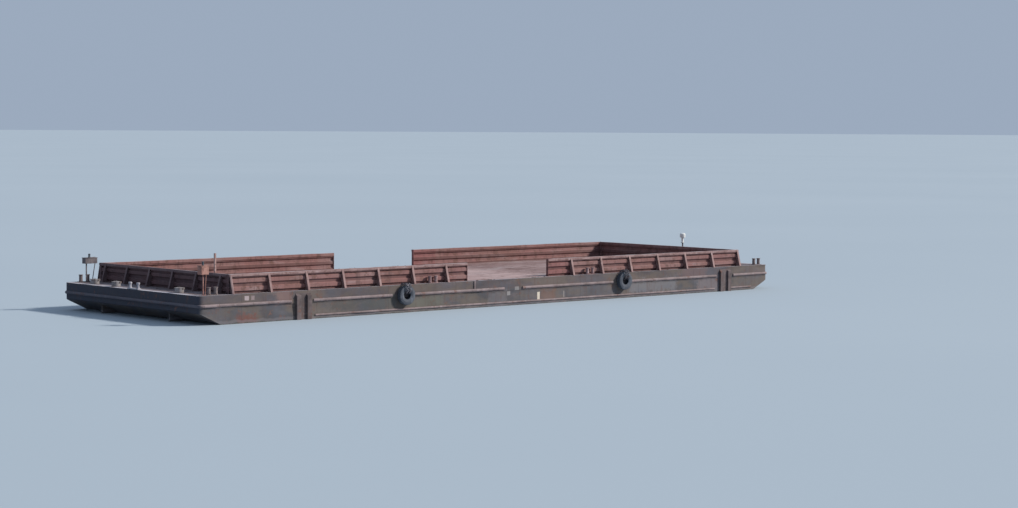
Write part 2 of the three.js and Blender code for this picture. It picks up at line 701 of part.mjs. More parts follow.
function lanternGeometry() {
  const body = [
    [0, GAP], [140, GAP], [140, 40], [105, 60], [105, 450], [255, 475], [255, 800], [200, 850], [60, 880],
    [0, 880],
  ];
  return turned(body, 16);
}

addPart(barge, 'bow_mast', mastGeometry(), STEEL.stand, MAST.x, MAST.y, DEPTH);
addPart(barge, 'bow_lantern', lanternGeometry(), WHITE_PAINT, MAST.x, MAST.y, DEPTH + MAST.height);

// A stanchion on the inner face of the stern wall, standing above the rail
const STANCHION = { y: -6450, width: 130, height: 2800 };
const wallInner = firstStrut + TOP_RAIL.width + GAP;
const { width: stanchionWidth, height: stanchionHeight } = STANCHION;
const stanchion = geometryOf(join([
  block(0, stanchionWidth, -stanchionWidth / 2, stanchionWidth / 2, GAP, stanchionHeight),
  block(0, 360, -180, 180, GAP, 25),
]));
addPart(barge, 'stern_stanchion', stanchion, STEEL.strut, wallInner, STANCHION.y, DEPTH);

barge.scale.setScalar(MODEL_SCALE);

export default barge;
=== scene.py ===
# The dressed half-size deck cargo barge: its worn steel, fenders, fittings and studio light.
# Sizes are the real barge's, in millimetres, from mid-length, mid-beam and the deck, until a piece is made.

import math

import bmesh
import bpy
import numpy as np
from mathutils import Matrix, Vector, noise


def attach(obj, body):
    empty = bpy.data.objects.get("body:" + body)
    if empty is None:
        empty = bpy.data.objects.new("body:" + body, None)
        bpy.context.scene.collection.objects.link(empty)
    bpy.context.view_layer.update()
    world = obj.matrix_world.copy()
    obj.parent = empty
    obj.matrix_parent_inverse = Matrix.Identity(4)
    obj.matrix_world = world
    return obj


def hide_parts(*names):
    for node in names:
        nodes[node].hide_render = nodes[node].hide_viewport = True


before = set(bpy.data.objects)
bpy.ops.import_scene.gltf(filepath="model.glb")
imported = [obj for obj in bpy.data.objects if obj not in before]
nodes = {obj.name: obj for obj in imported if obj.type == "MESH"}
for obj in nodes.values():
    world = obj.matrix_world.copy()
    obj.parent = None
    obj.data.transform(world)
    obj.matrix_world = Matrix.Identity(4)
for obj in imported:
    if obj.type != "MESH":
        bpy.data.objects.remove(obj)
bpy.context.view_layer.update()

SCALE = 0.0005  # real millimetres to model metres
DEPTH = 3660
HALF_LENGTH = 30000
HALF_BEAM = 9000
HEADLOG = 1220
RAKE = 5200
RAKE_BEND = 4000
CORNER = 400
BILGE = 300
DRAFT = 1560
FRAME_SPACING, FIRST_FRAME, LAST_FRAME = 3344, -27050, 16
GAP_AFT_END, GAP_FORE_END = -4750, 3840
WALL_OVERRUN = 140
WALL_HEIGHT = 1400
END_SPACING = 3050
END_STRUTS = [(index - 2.5) * END_SPACING for index in range(6)]
RAIL_DROP = 740
SEED = 7


# Shapes: an array of points and a list of faces, joined, moved and turned

def join(*shapes):
    points, faces, count = [], [], 0
    for some_points, some_faces in shapes:
        points.append(some_points)
        faces += [tuple(index + count for index in face) for face in some_faces]
        count += len(some_points)
    return np.vstack(points), faces


def moved(some, x=0.0, y=0.0, z=0.0):
    return some[0] + np.array([x, y, z]), some[1]


def turned(some, angle, axis="Z"):
    matrix = np.array(Matrix.Rotation(math.radians(angle), 3, axis))
    return some[0] @ matrix.T, some[1]


def welded(some):
    """Joins the points that lie at the same place."""
    points, index = np.unique(np.round(some[0], 3) + 0.0, axis=0, return_inverse=True)
    index = index.ravel()
    return points, [tuple(index[list(face)].tolist()) for face in some[1]]


def block(x0, x1, y0, y1, z0, z1, bevel=6.0):
    """A box whose edges are chamfered."""
    low, high = np.array([x0, y0, z0], float), np.array([x1, y1, z1], float)
    bevel = min(bevel, 0.3 * (high - low).min())
    points, corner = [], {}
    for signs in np.ndindex(2, 2, 2):
        for axis in range(3):
            place = np.where(signs, high - bevel, low + bevel)
            place[axis] = high[axis] if signs[axis] else low[axis]
            corner[signs, axis] = len(points)
            points.append(place)
    faces = [tuple(corner[signs, axis] for axis in range(3)) for signs in np.ndindex(2, 2, 2)]
    for axis in range(3):
        b, c = (axis + 1) % 3, (axis + 2) % 3

        def at(along, u, v, face):
            signs = [0, 0, 0]
            signs[axis], signs[b], signs[c] = along, u, v
            return corner[tuple(signs), face]

        for side in (0, 1):
            faces.append(tuple(at(side, u, v, axis) for u, v in ((0, 0), (1, 0), (1, 1), (0, 1))))
        for u, v in np.ndindex(2, 2):
            edge = ((0, b), (1, b), (1, c), (0, c))
            faces.append(tuple(at(along, u, v, face) for along, face in edge))
    return np.array(points), faces


def grid(rows):
    """Quads over rows of points."""
    rows = np.asarray(rows, float)
    count, size = rows.shape[:2]
    faces = [(a, a + size, a + size + 1, a + 1) for row in range(count - 1)
             for a in range(row * size, (row + 1) * size - 1)]
    return rows.reshape(-1, 3), faces


def rings(loops, closed=False):
    """Skin over equal loops of points, closed by a face at each end."""
    loops = np.asarray(loops, float)
    count, size = loops.shape[:2]
    faces = []
    for ring in range(count if closed else count - 1):
        near, far = ring * size, (ring + 1) % count * size
        for index in range(size):
            after = (index + 1) % size
            faces.append((near + index, near + after, far + after, far + index))
    if not closed:
        faces.append(tuple(range(size)))
        faces.append(tuple(range((count - 1) * size, count * size)))
    return loops.reshape(-1, 3), faces


def round_angles(segments):
    return np.arange(segments) * 2 * math.pi / segments


def lathe(profile, segments=24):
    """Turned about Z from [radius, height] points, bottom first, flat at both ends."""
    loops = []
    for radius, z in profile:
        r = max(radius, 0.5)
        loops.append([(r * math.cos(a), r * math.sin(a), z) for a in round_angles(segments)])
    return rings(loops)


def ring_lathe(profile, segments=48):
    """Turned about Z from a closed loop of [radius, height] points."""
    loops = [[(r * math.cos(a), r * math.sin(a), z) for r, z in profile] for a in round_angles(segments)]
    return rings(loops, closed=True)


def tube(path, radius, segments=8, closed=False):
    """A round bar along a path of points."""
    path = np.asarray(path, float)
    count = len(path)
    loops, up = [], None
    for index in range(count):
        before = path[index - 1 if closed or index else 0]
        after = path[(index + 1) % count if closed else min(index + 1, count - 1)]
        along = Vector(after - before).normalized()
        if up is None:
            up = Vector((0, 0, 1)) if abs(along.z) < 0.9 else Vector((1, 0, 0))
        side = along.cross(up).normalized()
        up = side.cross(along).normalized()
        loops.append([path[index] + radius * (math.cos(a) * np.array(up) - math.sin(a) * np.array(side))
                      for a in round_angles(segments)])
    return rings(loops, closed=closed)


def swept(profile, stations, bend=None):
    """A closed [y, z] profile run along X through the stations."""
    loops = []
    for x in stations:
        loop = np.array([(x, y, z) for y, z in profile], float)
        loops.append(bend(loop) if bend else loop)
    return rings(loops)


def angled(profile, y0, y1):
    """A closed [x, z] profile run along Y."""
    return turned(swept(profile, (-y1, -y0)), -90)


def bolt(x, y, z, size=14):
    head = [(size, -2), (size, 0.7 * size), (0.8 * size, 0.9 * size), (0, 0.9 * size)]
    return moved(lathe(head, 6), x, y, z)


def noise_at(x, y, z, size):
    return noise.noise(Vector((x / size + SEED, y / size, z / size)))


def frame_x(index):
    return FIRST_FRAME + index * FRAME_SPACING


# Edge frames: x along the edge, y inboard and z up, set at the edge of the deck

EDGES = {
    "starboard": (0, 0, -HALF_BEAM), "port": (180, 0, HALF_BEAM),
    "stern": (-90, -HALF_LENGTH, 0), "bow": (90, HALF_LENGTH, 0),
}
FORWARD = {"starboard": 1, "port": -1}


def at_edge(some, edge):
    angle, x, y = EDGES[edge]
    return moved(turned(some, angle), x, y)


def placed(name, data):
    made = bpy.data.objects.new(name, data)
    bpy.context.scene.collection.objects.link(made)
    return made


def piece(name, some, material, replaces=None, body="barge", sharp=38):
    """Makes a shape into an object in model metres that rides on a body."""
    points, faces = some
    mesh = bpy.data.meshes.new(name)
    mesh.from_pydata(((points + np.array([0, 0, DEPTH])) * SCALE).tolist(), [], faces)
    solid = bmesh.new()
    solid.from_mesh(mesh)
    bmesh.ops.recalc_face_normals(solid, faces=solid.faces)
    solid.to_mesh(mesh)
    solid.free()
    mesh.shade_smooth()
    mesh.set_sharp_from_angle(angle=math.radians(sharp))
    mesh.materials.append(material)
    made = placed(name, mesh)
    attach(made, body)
    if replaces:
        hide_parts(replaces)
    return made


# Materials: a small language for node trees

def linear(code):
    """A colour written as 0xRRGGBB, in scene-linear values."""
    channels = [(code >> shift & 255) / 255 for shift in (16, 8, 0)]
    return [c / 12.92 if c <= 0.04045 else ((c + 0.055) / 1.055) ** 2.4 for c in channels] + [1.0]


class Field:
    """A number that varies over a surface. Arithmetic with it adds nodes, and | takes the larger."""

    def __init__(self, finish, socket):
        self.finish = finish
        self.socket = socket

    def __add__(self, other):
        return self.finish.math("ADD", self, other)

    def __sub__(self, other):
        return self.finish.math("SUBTRACT", self, other)

    def __mul__(self, other):
        return self.finish.math("MULTIPLY", self, other)

    def __truediv__(self, other):
        return self.finish.math("DIVIDE", self, other)

    def __or__(self, other):
        return self.finish.math("MAXIMUM", self, other)

    def __abs__(self):
        return self.finish.math("ABSOLUTE", self)


class Finish:
    """A procedural material over a Principled shader, in model metres."""

    def __init__(self, name, metallic=0.0):
        self.material = bpy.data.materials.new(name)
        self.material.use_nodes = True
        self.tree = self.material.node_tree
        self.shader = self.tree.nodes["Principled BSDF"]
        self.shader.inputs["Metallic"].default_value = metallic
        self.place = self.add("ShaderNodeTexCoord").outputs["Object"]
        split = self.add("ShaderNodeSeparateXYZ", Vector=self.place)
        self.x, self.y, self.z = [Field(self, output) for output in split.outputs]

    def add(self, kind, settings=(), **inputs):
        node = self.tree.nodes.new(kind)
        for key, value in settings:
            setattr(node, key, value)
        for key, value in inputs.items():
            self.feed(node.inputs[key.replace("_", " ")], value)
        return node

    def feed(self, socket, value):
        value = value.socket if isinstance(value, Field) else value
        if isinstance(value, bpy.types.NodeSocket):
            self.tree.links.new(value, socket)
        elif socket.type == "RGBA":
            socket.default_value = linear(value)
        else:
            socket.default_value = value

    def math(self, operation, a, b=0.0):
        node = self.add("ShaderNodeMath", [("operation", operation)])
        self.feed(node.inputs[0], a)
        self.feed(node.inputs[1], b)
        return Field(self, node.outputs[0])

    def noise(self, scale, detail=4.0, roughness=0.55, stretch=(1, 1, 1), shift=0.0):
        """Noise from 0 to 1; stretch multiplies the coordinates, so a small z draws it out in height."""
        at = self.add("ShaderNodeMapping", Vector=self.place, Scale=stretch,
                      Location=(shift, shift, shift)).outputs[0]
        node = self.add("ShaderNodeTexNoise", Vector=at, Scale=scale, Detail=detail, Roughness=roughness)
        return Field(self, node.outputs["Fac"])

    def between(self, value, low, high):
        """0 below low, 1 above high, or the other way round if low is the larger."""
        node = self.add("ShaderNodeMapRange", [("interpolation_type", "SMOOTHSTEP")], Value=value,
                        From_Min=low, From_Max=high)
        return Field(self, node.outputs[0])

    def band(self, value, low, high, soft):
        """1 from low to high with soft edges."""
        return self.between(value, low - soft, low) * self.between(value, high + soft, high)

    def mix(self, amount, a, b):
        node = self.add("ShaderNodeMix", [("data_type", "RGBA")])
        self.feed(node.inputs[0], amount)
        self.feed(node.inputs[6], a)
        self.feed(node.inputs[7], b)
        return node.outputs[2]

    def coats(self, colour, *rows):
        """Lays paints over a colour: a field, the levels it rises between, the paint's share and its code."""
        for value, low, high, share, paint in rows:
            colour = self.mix(self.between(value, low, high) * share, colour, paint)
        return colour

    def cells(self, value, spacing, start=0.0):
        """A random number for each bay along a coordinate."""
        bay = self.math("FLOOR", (value - start) / spacing)
        node = self.add("ShaderNodeTexWhiteNoise", [("noise_dimensions", "1D")], W=bay)
        return Field(self, node.outputs["Value"])

    def line(self, value, spacing, half, start=0.0):
        """1 on thin lines a spacing apart along a coordinate."""
        off = abs(self.math("FRACT", (value - start) / spacing) - 0.5)
        return self.between(off, 0.5 - 2 * half / spacing, 0.5 - half / spacing)

    def finish(self, colour, roughness, bump, strength=0.4):
        self.feed(self.shader.inputs["Base Color"], colour)
        self.feed(self.shader.inputs["Roughness"], roughness)
        node = self.add("ShaderNodeBump", Strength=strength, Distance=0.004, Height=bump)
        self.feed(self.shader.inputs["Normal"], node.outputs[0])
        return self.material


WATERLINE = DRAFT * SCALE
DECK = DEPTH * SCALE
PLATE_LENGTH = 2 * FRAME_SPACING * SCALE
SIDE_STRAKE, DECK_STRAKE, SHADE_LENGTH = 0.62, 1.2, 6.2
SEAM, SEAM_START = 0.006, 0.2
RUST_DARK, RUST, RUST_LIGHT = 0x2E2021, 0x52362F, 0x755348


def rust_over(f, colour, amount, streaks=0.5, scale=1.0):
    """Patches of rust with darker middles, and runs drawn down. Returns the colour and the rust's share."""
    patch = f.noise(2.1 * scale, 9, 0.68)
    fine = f.noise(14 * scale, 6, 0.7, shift=3.1)
    run = f.noise(5.5 * scale, 5, 0.6, stretch=(1, 1, 0.12), shift=8.3)
    level = 0.66 - 0.24 * amount
    spot = f.between(patch * 0.75 + fine * 0.25, level - 0.045, level + 0.06) * 0.85
    rust = f.mix(f.between(fine, 0.35, 0.62), RUST_DARK, RUST)
    rust = f.mix(f.between(patch, 0.52, 0.75), rust, RUST_LIGHT)
    streaked = f.coats(colour, (run, 0.6 - 0.14 * streaks, 0.74, 0.6 * streaks, RUST))
    return f.mix(spot, streaked, rust), spot


# Patches on the starboard side: station, half width, top and bottom from the deck, paint and share

MARKS = [  # blank painted ones
    (-25920, 170, -170, -450, 0xAB9C9F, 0.8), (-25400, 130, -190, -450, 0x988689, 0.6),
    (2410, 115, -1180, -1790, 0xD2C6B6, 0.85), (5200, 50, -1220, -1700, 0x9E9692, 0.45),
    (-800, 150, -960, -1260, 0x9A9696, 0.6), (60, 190, -640, -900, 0x9A9696, 0.5),
]
STAINS = [  # of another paint or of rust, softer at the edge
    (-22700, 420, -60, -620, 0x7E625D, 0.6), (-25900, 620, -1690, -1980, 0x6A3B33, 0.7),
    (-13800, 1500, -1000, -1500, 0x444848, 0.5), (-9300, 1400, -1250, -1650, 0x5E6057, 0.5),
    (3500, 600, -1200, -1700, 0x6E5145, 0.6), (15500, 2600, -1000, -1500, 0x74757D, 0.5),
    (22300, 1100, -1150, -1650, 0x7C7072, 0.5), (-1900, 700, -1150, -1700, 0x6F6A6E, 0.4),
    (-17200, 900, -950, -1400, 0x393B3C, 0.5), (20600, 1200, -80, -560, 0x6B5352, 0.5),
]


def painted_patches(f, colour, table, soft, ragged):
    """Paints each row of the table, with an edge that the noise makes ragged."""
    side = f.between(f.y, -0.9 * HALF_BEAM * SCALE, -0.97 * HALF_BEAM * SCALE)
    wobble = (f.noise(7, 6, 0.7, shift=21.0) - 0.5) * ragged
    x, z = f.x + wobble, f.z + wobble
    for station, half, top, bottom, paint, share in table:
        across = f.band(x, (station - half) * SCALE, (station + half) * SCALE, soft)
        upright = f.band(z, DECK + bottom * SCALE, DECK + top * SCALE, soft)
        colour = f.mix(across * upright * share * side, colour, paint)
    return colour


def stern_coat_and_shade(f, colour, paint, share):
    """The stern's end darkened, stopping at its corners: a dark coat that also paints in the shade that end
    face lies in.
    """
    fore, aft = (CORNER / 2 - HALF_LENGTH) * SCALE, (60 - HALF_LENGTH) * SCALE
    return f.coats(colour, (f.x, fore, aft, share, paint))


def aft_painted_shade(f, colour):
    """Painted shade on what lies aft of the stern wall, which stands in shadow there."""
    fore, aft = (FIRST_FRAME + 60) * SCALE, (FIRST_FRAME - 20) * SCALE
    return f.coats(colour, (f.x, fore, aft, 0.5, 0x32323F))


def hull_finish():
    """Grey topsides over a cooler band, stained and streaked, with a scummed waterline and antifouling, and a
    dark stern end that is partly painted shade.
    """
    f = Finish("hull_paint_steel", metallic=0.05)
    tone = f.noise(0.45, 5, 0.6)
    mottled = f.noise(3.3, 7, 0.65, stretch=(0.45, 1, 1.6), shift=1.7)
    runs = f.noise(4.2, 5, 0.6, stretch=(1, 1, 0.1), shift=5.5)
    hue = f.noise(0.9, 5, 0.6, stretch=(0.7, 1, 1.3), shift=14.0)
    upper = f.mix(f.between(tone, 0.35, 0.65), 0x484144, 0x544D51)
    lower = f.mix(f.between(tone, 0.38, 0.62), 0x424145, 0x535156)
    rail = (DEPTH - RAIL_DROP) * SCALE
    colour = f.mix(f.between(f.z, rail - 0.02, rail + 0.02), lower, upper)
    colour = f.mix(f.cells(f.x, SHADE_LENGTH, 0.4) * 0.28, colour, 0x5F585C)
    colour = f.coats(colour, (mottled, 0.52, 0.72, 0.55, 0x6D6264), (mottled, 0.46, 0.3, 0.5, 0x333036),
                     (runs, 0.55, 0.75, 0.4, 0x473635), (hue, 0.47, 0.62, 0.5, 0x64574B),
                     (hue, 0.5, 0.36, 0.45, 0x474B57))
    colour = painted_patches(f, colour, STAINS, 0.25, 0.9)
    colour = painted_patches(f, colour, MARKS, 0.02, 0.05)
    # The stern's end face: dark paint, deepened with painted shade.
    colour = stern_coat_and_shade(f, colour, 0x232B3C, 0.82)
    colour, spot = rust_over(f, colour, 0.3, 0.6, 1.3)
    seams = f.line(f.x, PLATE_LENGTH, SEAM, SEAM_START) | f.line(f.z, SIDE_STRAKE, SEAM, 0.11)
    colour = f.mix(seams * 0.4, colour, RUST_DARK)
    height = f.z + (f.noise(2.4, 6, 0.65, stretch=(1, 1, 0.4), shift=12.0) - 0.5) * 0.22
    scum = f.band(height, WATERLINE - 0.03, WATERLINE + 0.10, 0.06)
    colour = f.mix(scum * 0.4, colour, 0x767176)
    weed = f.band(height, WATERLINE - 0.2, WATERLINE + 0.015, 0.03)
    colour = f.mix(weed * 0.6, colour, 0x30362F)
    bottom = f.mix(f.between(mottled, 0.4, 0.65), 0x3E2527, 0x50332F)
    colour = f.mix(f.between(height, WATERLINE - 0.03, WATERLINE - 0.1), colour, bottom)
    grain = f.noise(38, 5, 0.65) * 0.5 + spot * 0.6 + seams * 1.2
    return f.finish(colour, mottled * 0.3 + 0.62, grain, 0.45)


def deck_finish():
    """Worn red-brown deck with dust, wheel marks and old oil, greyer outside the walls."""
    f = Finish("deck_paint_steel", metallic=0.05)
    wide = f.noise(0.32, 6, 0.62)
    worn = f.noise(1.6, 8, 0.7, stretch=(0.5, 1, 1), shift=2.2)
    dust = f.noise(0.8, 7, 0.68, stretch=(0.6, 1, 1), shift=7.4)
    marks = f.noise(1.1, 6, 0.6, stretch=(0.12, 2.4, 1), shift=9.1)
    oil = f.noise(0.9, 5, 0.55, shift=15.7)

    def near_edge(side, end):
        """From 0 to 1 between two distances in from the sides' edges, or in from the ends' edges."""
        return (f.between(abs(f.y), *[(HALF_BEAM - inset) * SCALE for inset in side])
                | f.between(abs(f.x), *[(HALF_LENGTH - inset) * SCALE for inset in end]))

    colour = f.mix(f.between(wide, 0.35, 0.65), 0x785D5B, 0x8E7775)
    colour = f.coats(colour, (worn, 0.5, 0.7, 1.0, 0x60443F), (dust, 0.45, 0.68, 0.7, 0xA49899),
                     (marks, 0.58, 0.74, 0.5, 0x433434), (oil, 0.66, 0.74, 0.75, 0x262122))
    end_strip = HALF_LENGTH + FIRST_FRAME
    walkway = f.mix(f.between(dust, 0.4, 0.6), 0x5B555A, 0x77727A)
    colour = f.mix(near_edge((700, 500), (end_strip, end_strip - 200)) * 0.8, colour, walkway)
    gap = f.band(f.x + (worn - 0.5) * 3.0, GAP_AFT_END * SCALE, GAP_FORE_END * SCALE, 1.0)
    colour = f.mix(gap * f.between(marks, 0.75, 0.3), colour, 0xB39A98)
    colour = f.mix(near_edge((200, 90), (700, 300)) * f.between(worn, 0.3, 0.5) * 0.85, colour, 0xB4B3BC)
    colour, spot = rust_over(f, colour, 0.4, 0.0, 1.1)
    seams = f.line(f.x, PLATE_LENGTH, SEAM, SEAM_START) | f.line(f.y, DECK_STRAKE, SEAM, DECK_STRAKE / 2)
    colour = f.mix(seams * 0.5, colour, RUST_DARK)
    return f.finish(colour, worn * 0.25 + 0.66, f.noise(30, 6, 0.7) * 0.7 + spot * 0.5 + seams)


# Painted shade: darker bands in the recesses between the ribs, at the foot and under the top rail.
RECESS_PAINTED_SHADE = [(-10, 120, 0.55), (520, 700, 0.55), (1095, 1150, 0.25)]  # heights from the deck, share


def bin_finish():
    """Faded red primer, different from bay to bay, with painted shade in the recesses between the ribs, at
    the foot and under the top rail.
    """
    f = Finish("bin_plate_steel", metallic=0.05)
    tone = f.noise(0.8, 6, 0.62)
    runs = f.noise(5.0, 6, 0.62, stretch=(1, 1, 0.14), shift=4.4)
    scuff = f.noise(2.6, 7, 0.68, stretch=(0.3, 0.3, 1.4), shift=6.2)
    colour = f.mix(f.cells(f.x, FRAME_SPACING * SCALE, FIRST_FRAME * SCALE), 0x79544E, 0x886866)
    colour = f.mix(f.cells(f.y, END_SPACING * SCALE, END_STRUTS[0] * SCALE) * 0.35, colour, 0x6C4B4B)
    colour = f.coats(colour, (tone, 0.4, 0.66, 1.0, 0x805957), (scuff, 0.52, 0.72, 0.6, 0x948081),
                     (runs, 0.52, 0.74, 0.6, 0x4A3635))
    fresh = f.band(f.x, GAP_FORE_END * SCALE - 0.1, frame_x(10) * SCALE, 0.02)
    colour = f.mix(fresh * 0.4, colour, 0x7F4649)
    colour, spot = rust_over(f, colour, 0.42, 0.6, 1.5)
    top = f.between(f.z, DECK + (WALL_HEIGHT - 30) * SCALE, DECK + (WALL_HEIGHT - 6) * SCALE)
    colour = f.mix(top * f.between(scuff, 0.35, 0.6), colour, 0xA2979A)
    # Painted shade in the recesses and under the top rail.
    for low, high, share in RECESS_PAINTED_SHADE:
        recess_shade = f.band(f.z, DECK + low * SCALE, DECK + high * SCALE, 30 * SCALE)
        colour = f.mix(recess_shade * share, colour, 0x4A2C2B)
    grain = f.noise(34, 5, 0.65) * 0.55 + spot * 0.6
    # The stern wall's aft side gets painted shade here.
    return f.finish(aft_painted_shade(f, colour), scuff * 0.22 + 0.68, grain, 0.42)


def painted_steel(name, light, dark, wear, rust=0.4, streaks=0.4, scale=1.6, metallic=0.05, stern=None,
                  shade_aft_of_wall=False):
    """One weathered paint with scuffs, grime and rust, and perhaps a darker stern coat that is partly painted
    shade, and painted shade aft of the stern wall.
    """
    f = Finish(name, metallic)
    tone = f.noise(1.3 * scale, 6, 0.62)
    scuff = f.noise(4.0 * scale, 7, 0.68, stretch=(0.5, 1, 1), shift=3.6)
    grime = f.noise(6.0 * scale, 5, 0.6, stretch=(1, 1, 0.25), shift=9.9)
    colour = f.mix(f.between(tone, 0.36, 0.64), dark, light)
    colour = f.coats(colour, (scuff, 0.54, 0.72, 0.7, wear), (grime, 0.55, 0.75, 0.55, 0x3C302C))
    # A darker coat at the stern's end, partly painted shade.
    if stern is not None:
        colour = stern_coat_and_shade(f, colour, stern, 0.7)
    colour, spot = rust_over(f, colour, rust, streaks, scale)
    # Painted shade on what lies aft of the stern wall.
    if shade_aft_of_wall:
        colour = aft_painted_shade(f, colour)
    return f.finish(colour, scuff * 0.32 + 0.58, f.noise(45, 5, 0.65) * 0.5 + spot * 0.6)


def rubber_finish():
    """Old tyre rubber, greyed by salt, with pale scuffs on what stands proud."""
    f = Finish("old_rubber")
    scuff = f.noise(9.0, 7, 0.7, shift=2.9)
    salt = f.noise(5.0, 5, 0.62, stretch=(1, 1, 0.3), shift=7.7)
    colour = f.mix(f.noise(3.0, 6, 0.6), 0x353A42, 0x4A505C)
    colour = f.coats(colour, (scuff, 0.54, 0.73, 0.6, 0x6A707C), (salt, 0.54, 0.74, 0.55, 0x868C97))
    return f.finish(colour, scuff * 0.2 + 0.72, f.noise(60, 5, 0.6), 0.35)


def plastic_finish(name, light, dark, roughness):
    """Moulded plastic with a little grime."""
    f = Finish(name)
    grime = f.noise(12.0, 6, 0.65, stretch=(1, 1, 0.3), shift=4.1)
    colour = f.mix(f.between(f.noise(4.0, 5, 0.6), 0.35, 0.68), light, dark)
    colour = f.coats(colour, (grime, 0.55, 0.78, 0.5, 0x7B766C))
    return f.finish(colour, grime * 0.2 + roughness, f.noise(50, 4, 0.6), 0.12)


def glass_finish():
    """The lamps' dark glass, dulled by salt."""
    f = Finish("lamp_glass")
    haze = f.noise(18, 5, 0.6)
    f.shader.inputs["Transmission Weight"].default_value = 0.35
    f.shader.inputs["IOR"].default_value = 1.45
    colour = f.mix(f.between(haze, 0.4, 0.7), 0x66747E, 0x4B5862)
    return f.finish(colour, haze * 0.3 + 0.12, haze, 0.1)


HULL = hull_finish()
PLATE = deck_finish()
BIN = bin_finish()
# Struts aft of the stern wall get painted shade.
STRUT = painted_steel("strut_primer", 0x917674, 0x785C5B, 0xA99696, rust=0.36, shade_aft_of_wall=True)
# The rail along the stern's end is darkened with the stern coat, which is partly painted shade.
RAIL = painted_steel("rub_rail_steel", 0x827375, 0x6A5C5D, 0x9A9092, rust=0.34, streaks=0.3, scale=1.2,
                     stern=0x3C4352)
POST_STEEL = painted_steel("fender_post_steel", 0x635758, 0x473D3E, 0x7F7475, rust=0.42)
MOORING = painted_steel("mooring_steel", 0x7B6F6F, 0x574B4B, 0x948C8F, rust=0.42, scale=2.2)
CHAIN_STEEL = painted_steel("chain_steel", 0x7E7C84, 0x5A565C, 0x9A9AA2, rust=0.4, scale=3.0, metallic=0.2)
STAND = painted_steel("stand_paint_steel", 0x6E676A, 0x524C51, 0x8A8488, rust=0.35, scale=2.4)
RED_STAND = painted_steel("red_stand_steel", 0xA2786D, 0x80574E, 0xB7958C, rust=0.35, scale=2.4)
BITT_PRIMER = painted_steel("bitt_primer", 0x9C8080, 0x7C6162, 0xB3A0A0, rust=0.34, scale=2.2)
HATCH = painted_steel("hatch_paint_steel", 0x8A8789, 0x706B6B, 0xA6A3A6, rust=0.38, scale=2.4)
STANCHION = painted_steel("stanchion_primer", 0xB2938F, 0x92746F, 0xC5AEAB, rust=0.3, scale=2.4)
CHOCK_STEEL = painted_steel("chock_paint_steel", 0xA5A4AC, 0x85838C, 0xC2C1C8, rust=0.3, scale=2.4)
RUBBER = rubber_finish()
# Near-black steel in the hatch wells: painted shade for the dark hold under each lid.
WELL_PAINTED_SHADE = painted_steel("hatch_well_painted_shade", 0x17181B, 0x0E0F11, 0x222326, rust=0.0, scale=2.4)
LANTERN = plastic_finish("lantern_plastic", 0xE3E5E6, 0xC9CBC9, 0.38)
LAMP = plastic_finish("lamp_plastic", 0x5A5A5E, 0x3E3F44, 0.5)
GLASS = glass_finish()


# Hull: shell, ends, bottom and deck in one skin, dished between the frames and dented

PANEL_LENGTH = FRAME_SPACING / 5
PANEL_HEIGHT = 610
PORT_SHIFT, END_SHIFT = 31000, 5000  # how far along the same noise the other faces are dented
STATION_STEP = FRAME_SPACING / 24


def half_breadth(x):
    over = max(0.0, abs(x) - (HALF_LENGTH - CORNER))
    return HALF_BEAM - CORNER + math.sqrt(max(0.0, CORNER ** 2 - over ** 2))


def bottom_height(x):
    """Above the flat bottom: flat, then a bend into the rake."""
    slope = math.atan2(DEPTH - HEADLOG, RAKE)
    past = abs(x) - (HALF_LENGTH - RAKE - RAKE_BEND * math.tan(slope / 2))
    if past <= 0:
        return 0.0
    if past < RAKE_BEND * math.sin(slope):
        return RAKE_BEND - math.sqrt(RAKE_BEND ** 2 - past ** 2)
    return (abs(x) - (HALF_LENGTH - RAKE)) * (DEPTH - HEADLOG) / RAKE


def hull_stations():
    knee = HALF_LENGTH - CORNER
    first = math.ceil((-knee - FIRST_FRAME) / STATION_STEP)
    last = math.floor((knee - FIRST_FRAME) / STATION_STEP)
    middle = [FIRST_FRAME + index * STATION_STEP for index in range(first + 1, last)]
    corner = [knee + CORNER * math.sin(math.radians(angle)) for angle in (0, 15, 30, 44, 57, 69, 80, 90)]
    return [-x for x in reversed(corner)] + middle + corner


def dish(value, spacing):
    return 0.5 - 0.5 * math.cos(2 * math.pi * value / spacing)


def side_dent(x, up):
    """How far the side plating is pushed in, in millimetres; up is from the bottom."""
    panel = dish(x - FIRST_FRAME, PANEL_LENGTH) * dish(up, PANEL_HEIGHT)
    knocks = max(0.0, noise_at(x, 0, up * 2.5, 2600) - 0.12)
    return panel * (7 + 9 * noise_at(x, 50, up, 1900)) + 85 * knocks + 5 * noise_at(x, 9, up, 700)


def side_point(x, row, side):
    """A row is a share of the height from the bottom to the deck, a side is -1 or 1."""
    low = bottom_height(x)
    up = low + (DEPTH - low) * row
    reach = half_breadth(x)
    if up < BILGE:
        reach = min(reach, HALF_BEAM - BILGE + math.sqrt(BILGE ** 2 - (BILGE - up) ** 2))
    free = 1 - abs(2 * row - 1) ** 8
    return x, side * (reach - free * max(0.0, side_dent(x + PORT_SHIFT * (side > 0), up))), up - DEPTH


def deck_point(x, column):
    """A column is a share of the half breadth, from -1 to 1."""
    y = column * half_breadth(x)
    free = (1 - abs(column) ** 30) * (1 - abs(x / HALF_LENGTH) ** 60)
    sag = dish(x - FIRST_FRAME, PANEL_LENGTH) * (5 + 5 * noise_at(x, y, 0, 2500))
    return x, y, -free * max(0.0, sag + 7 * noise_at(x, y, 30, 1500))


def bottom_point(x, column):
    _, reach, z = side_point(x, 0, 1)
    return x, column * reach, z


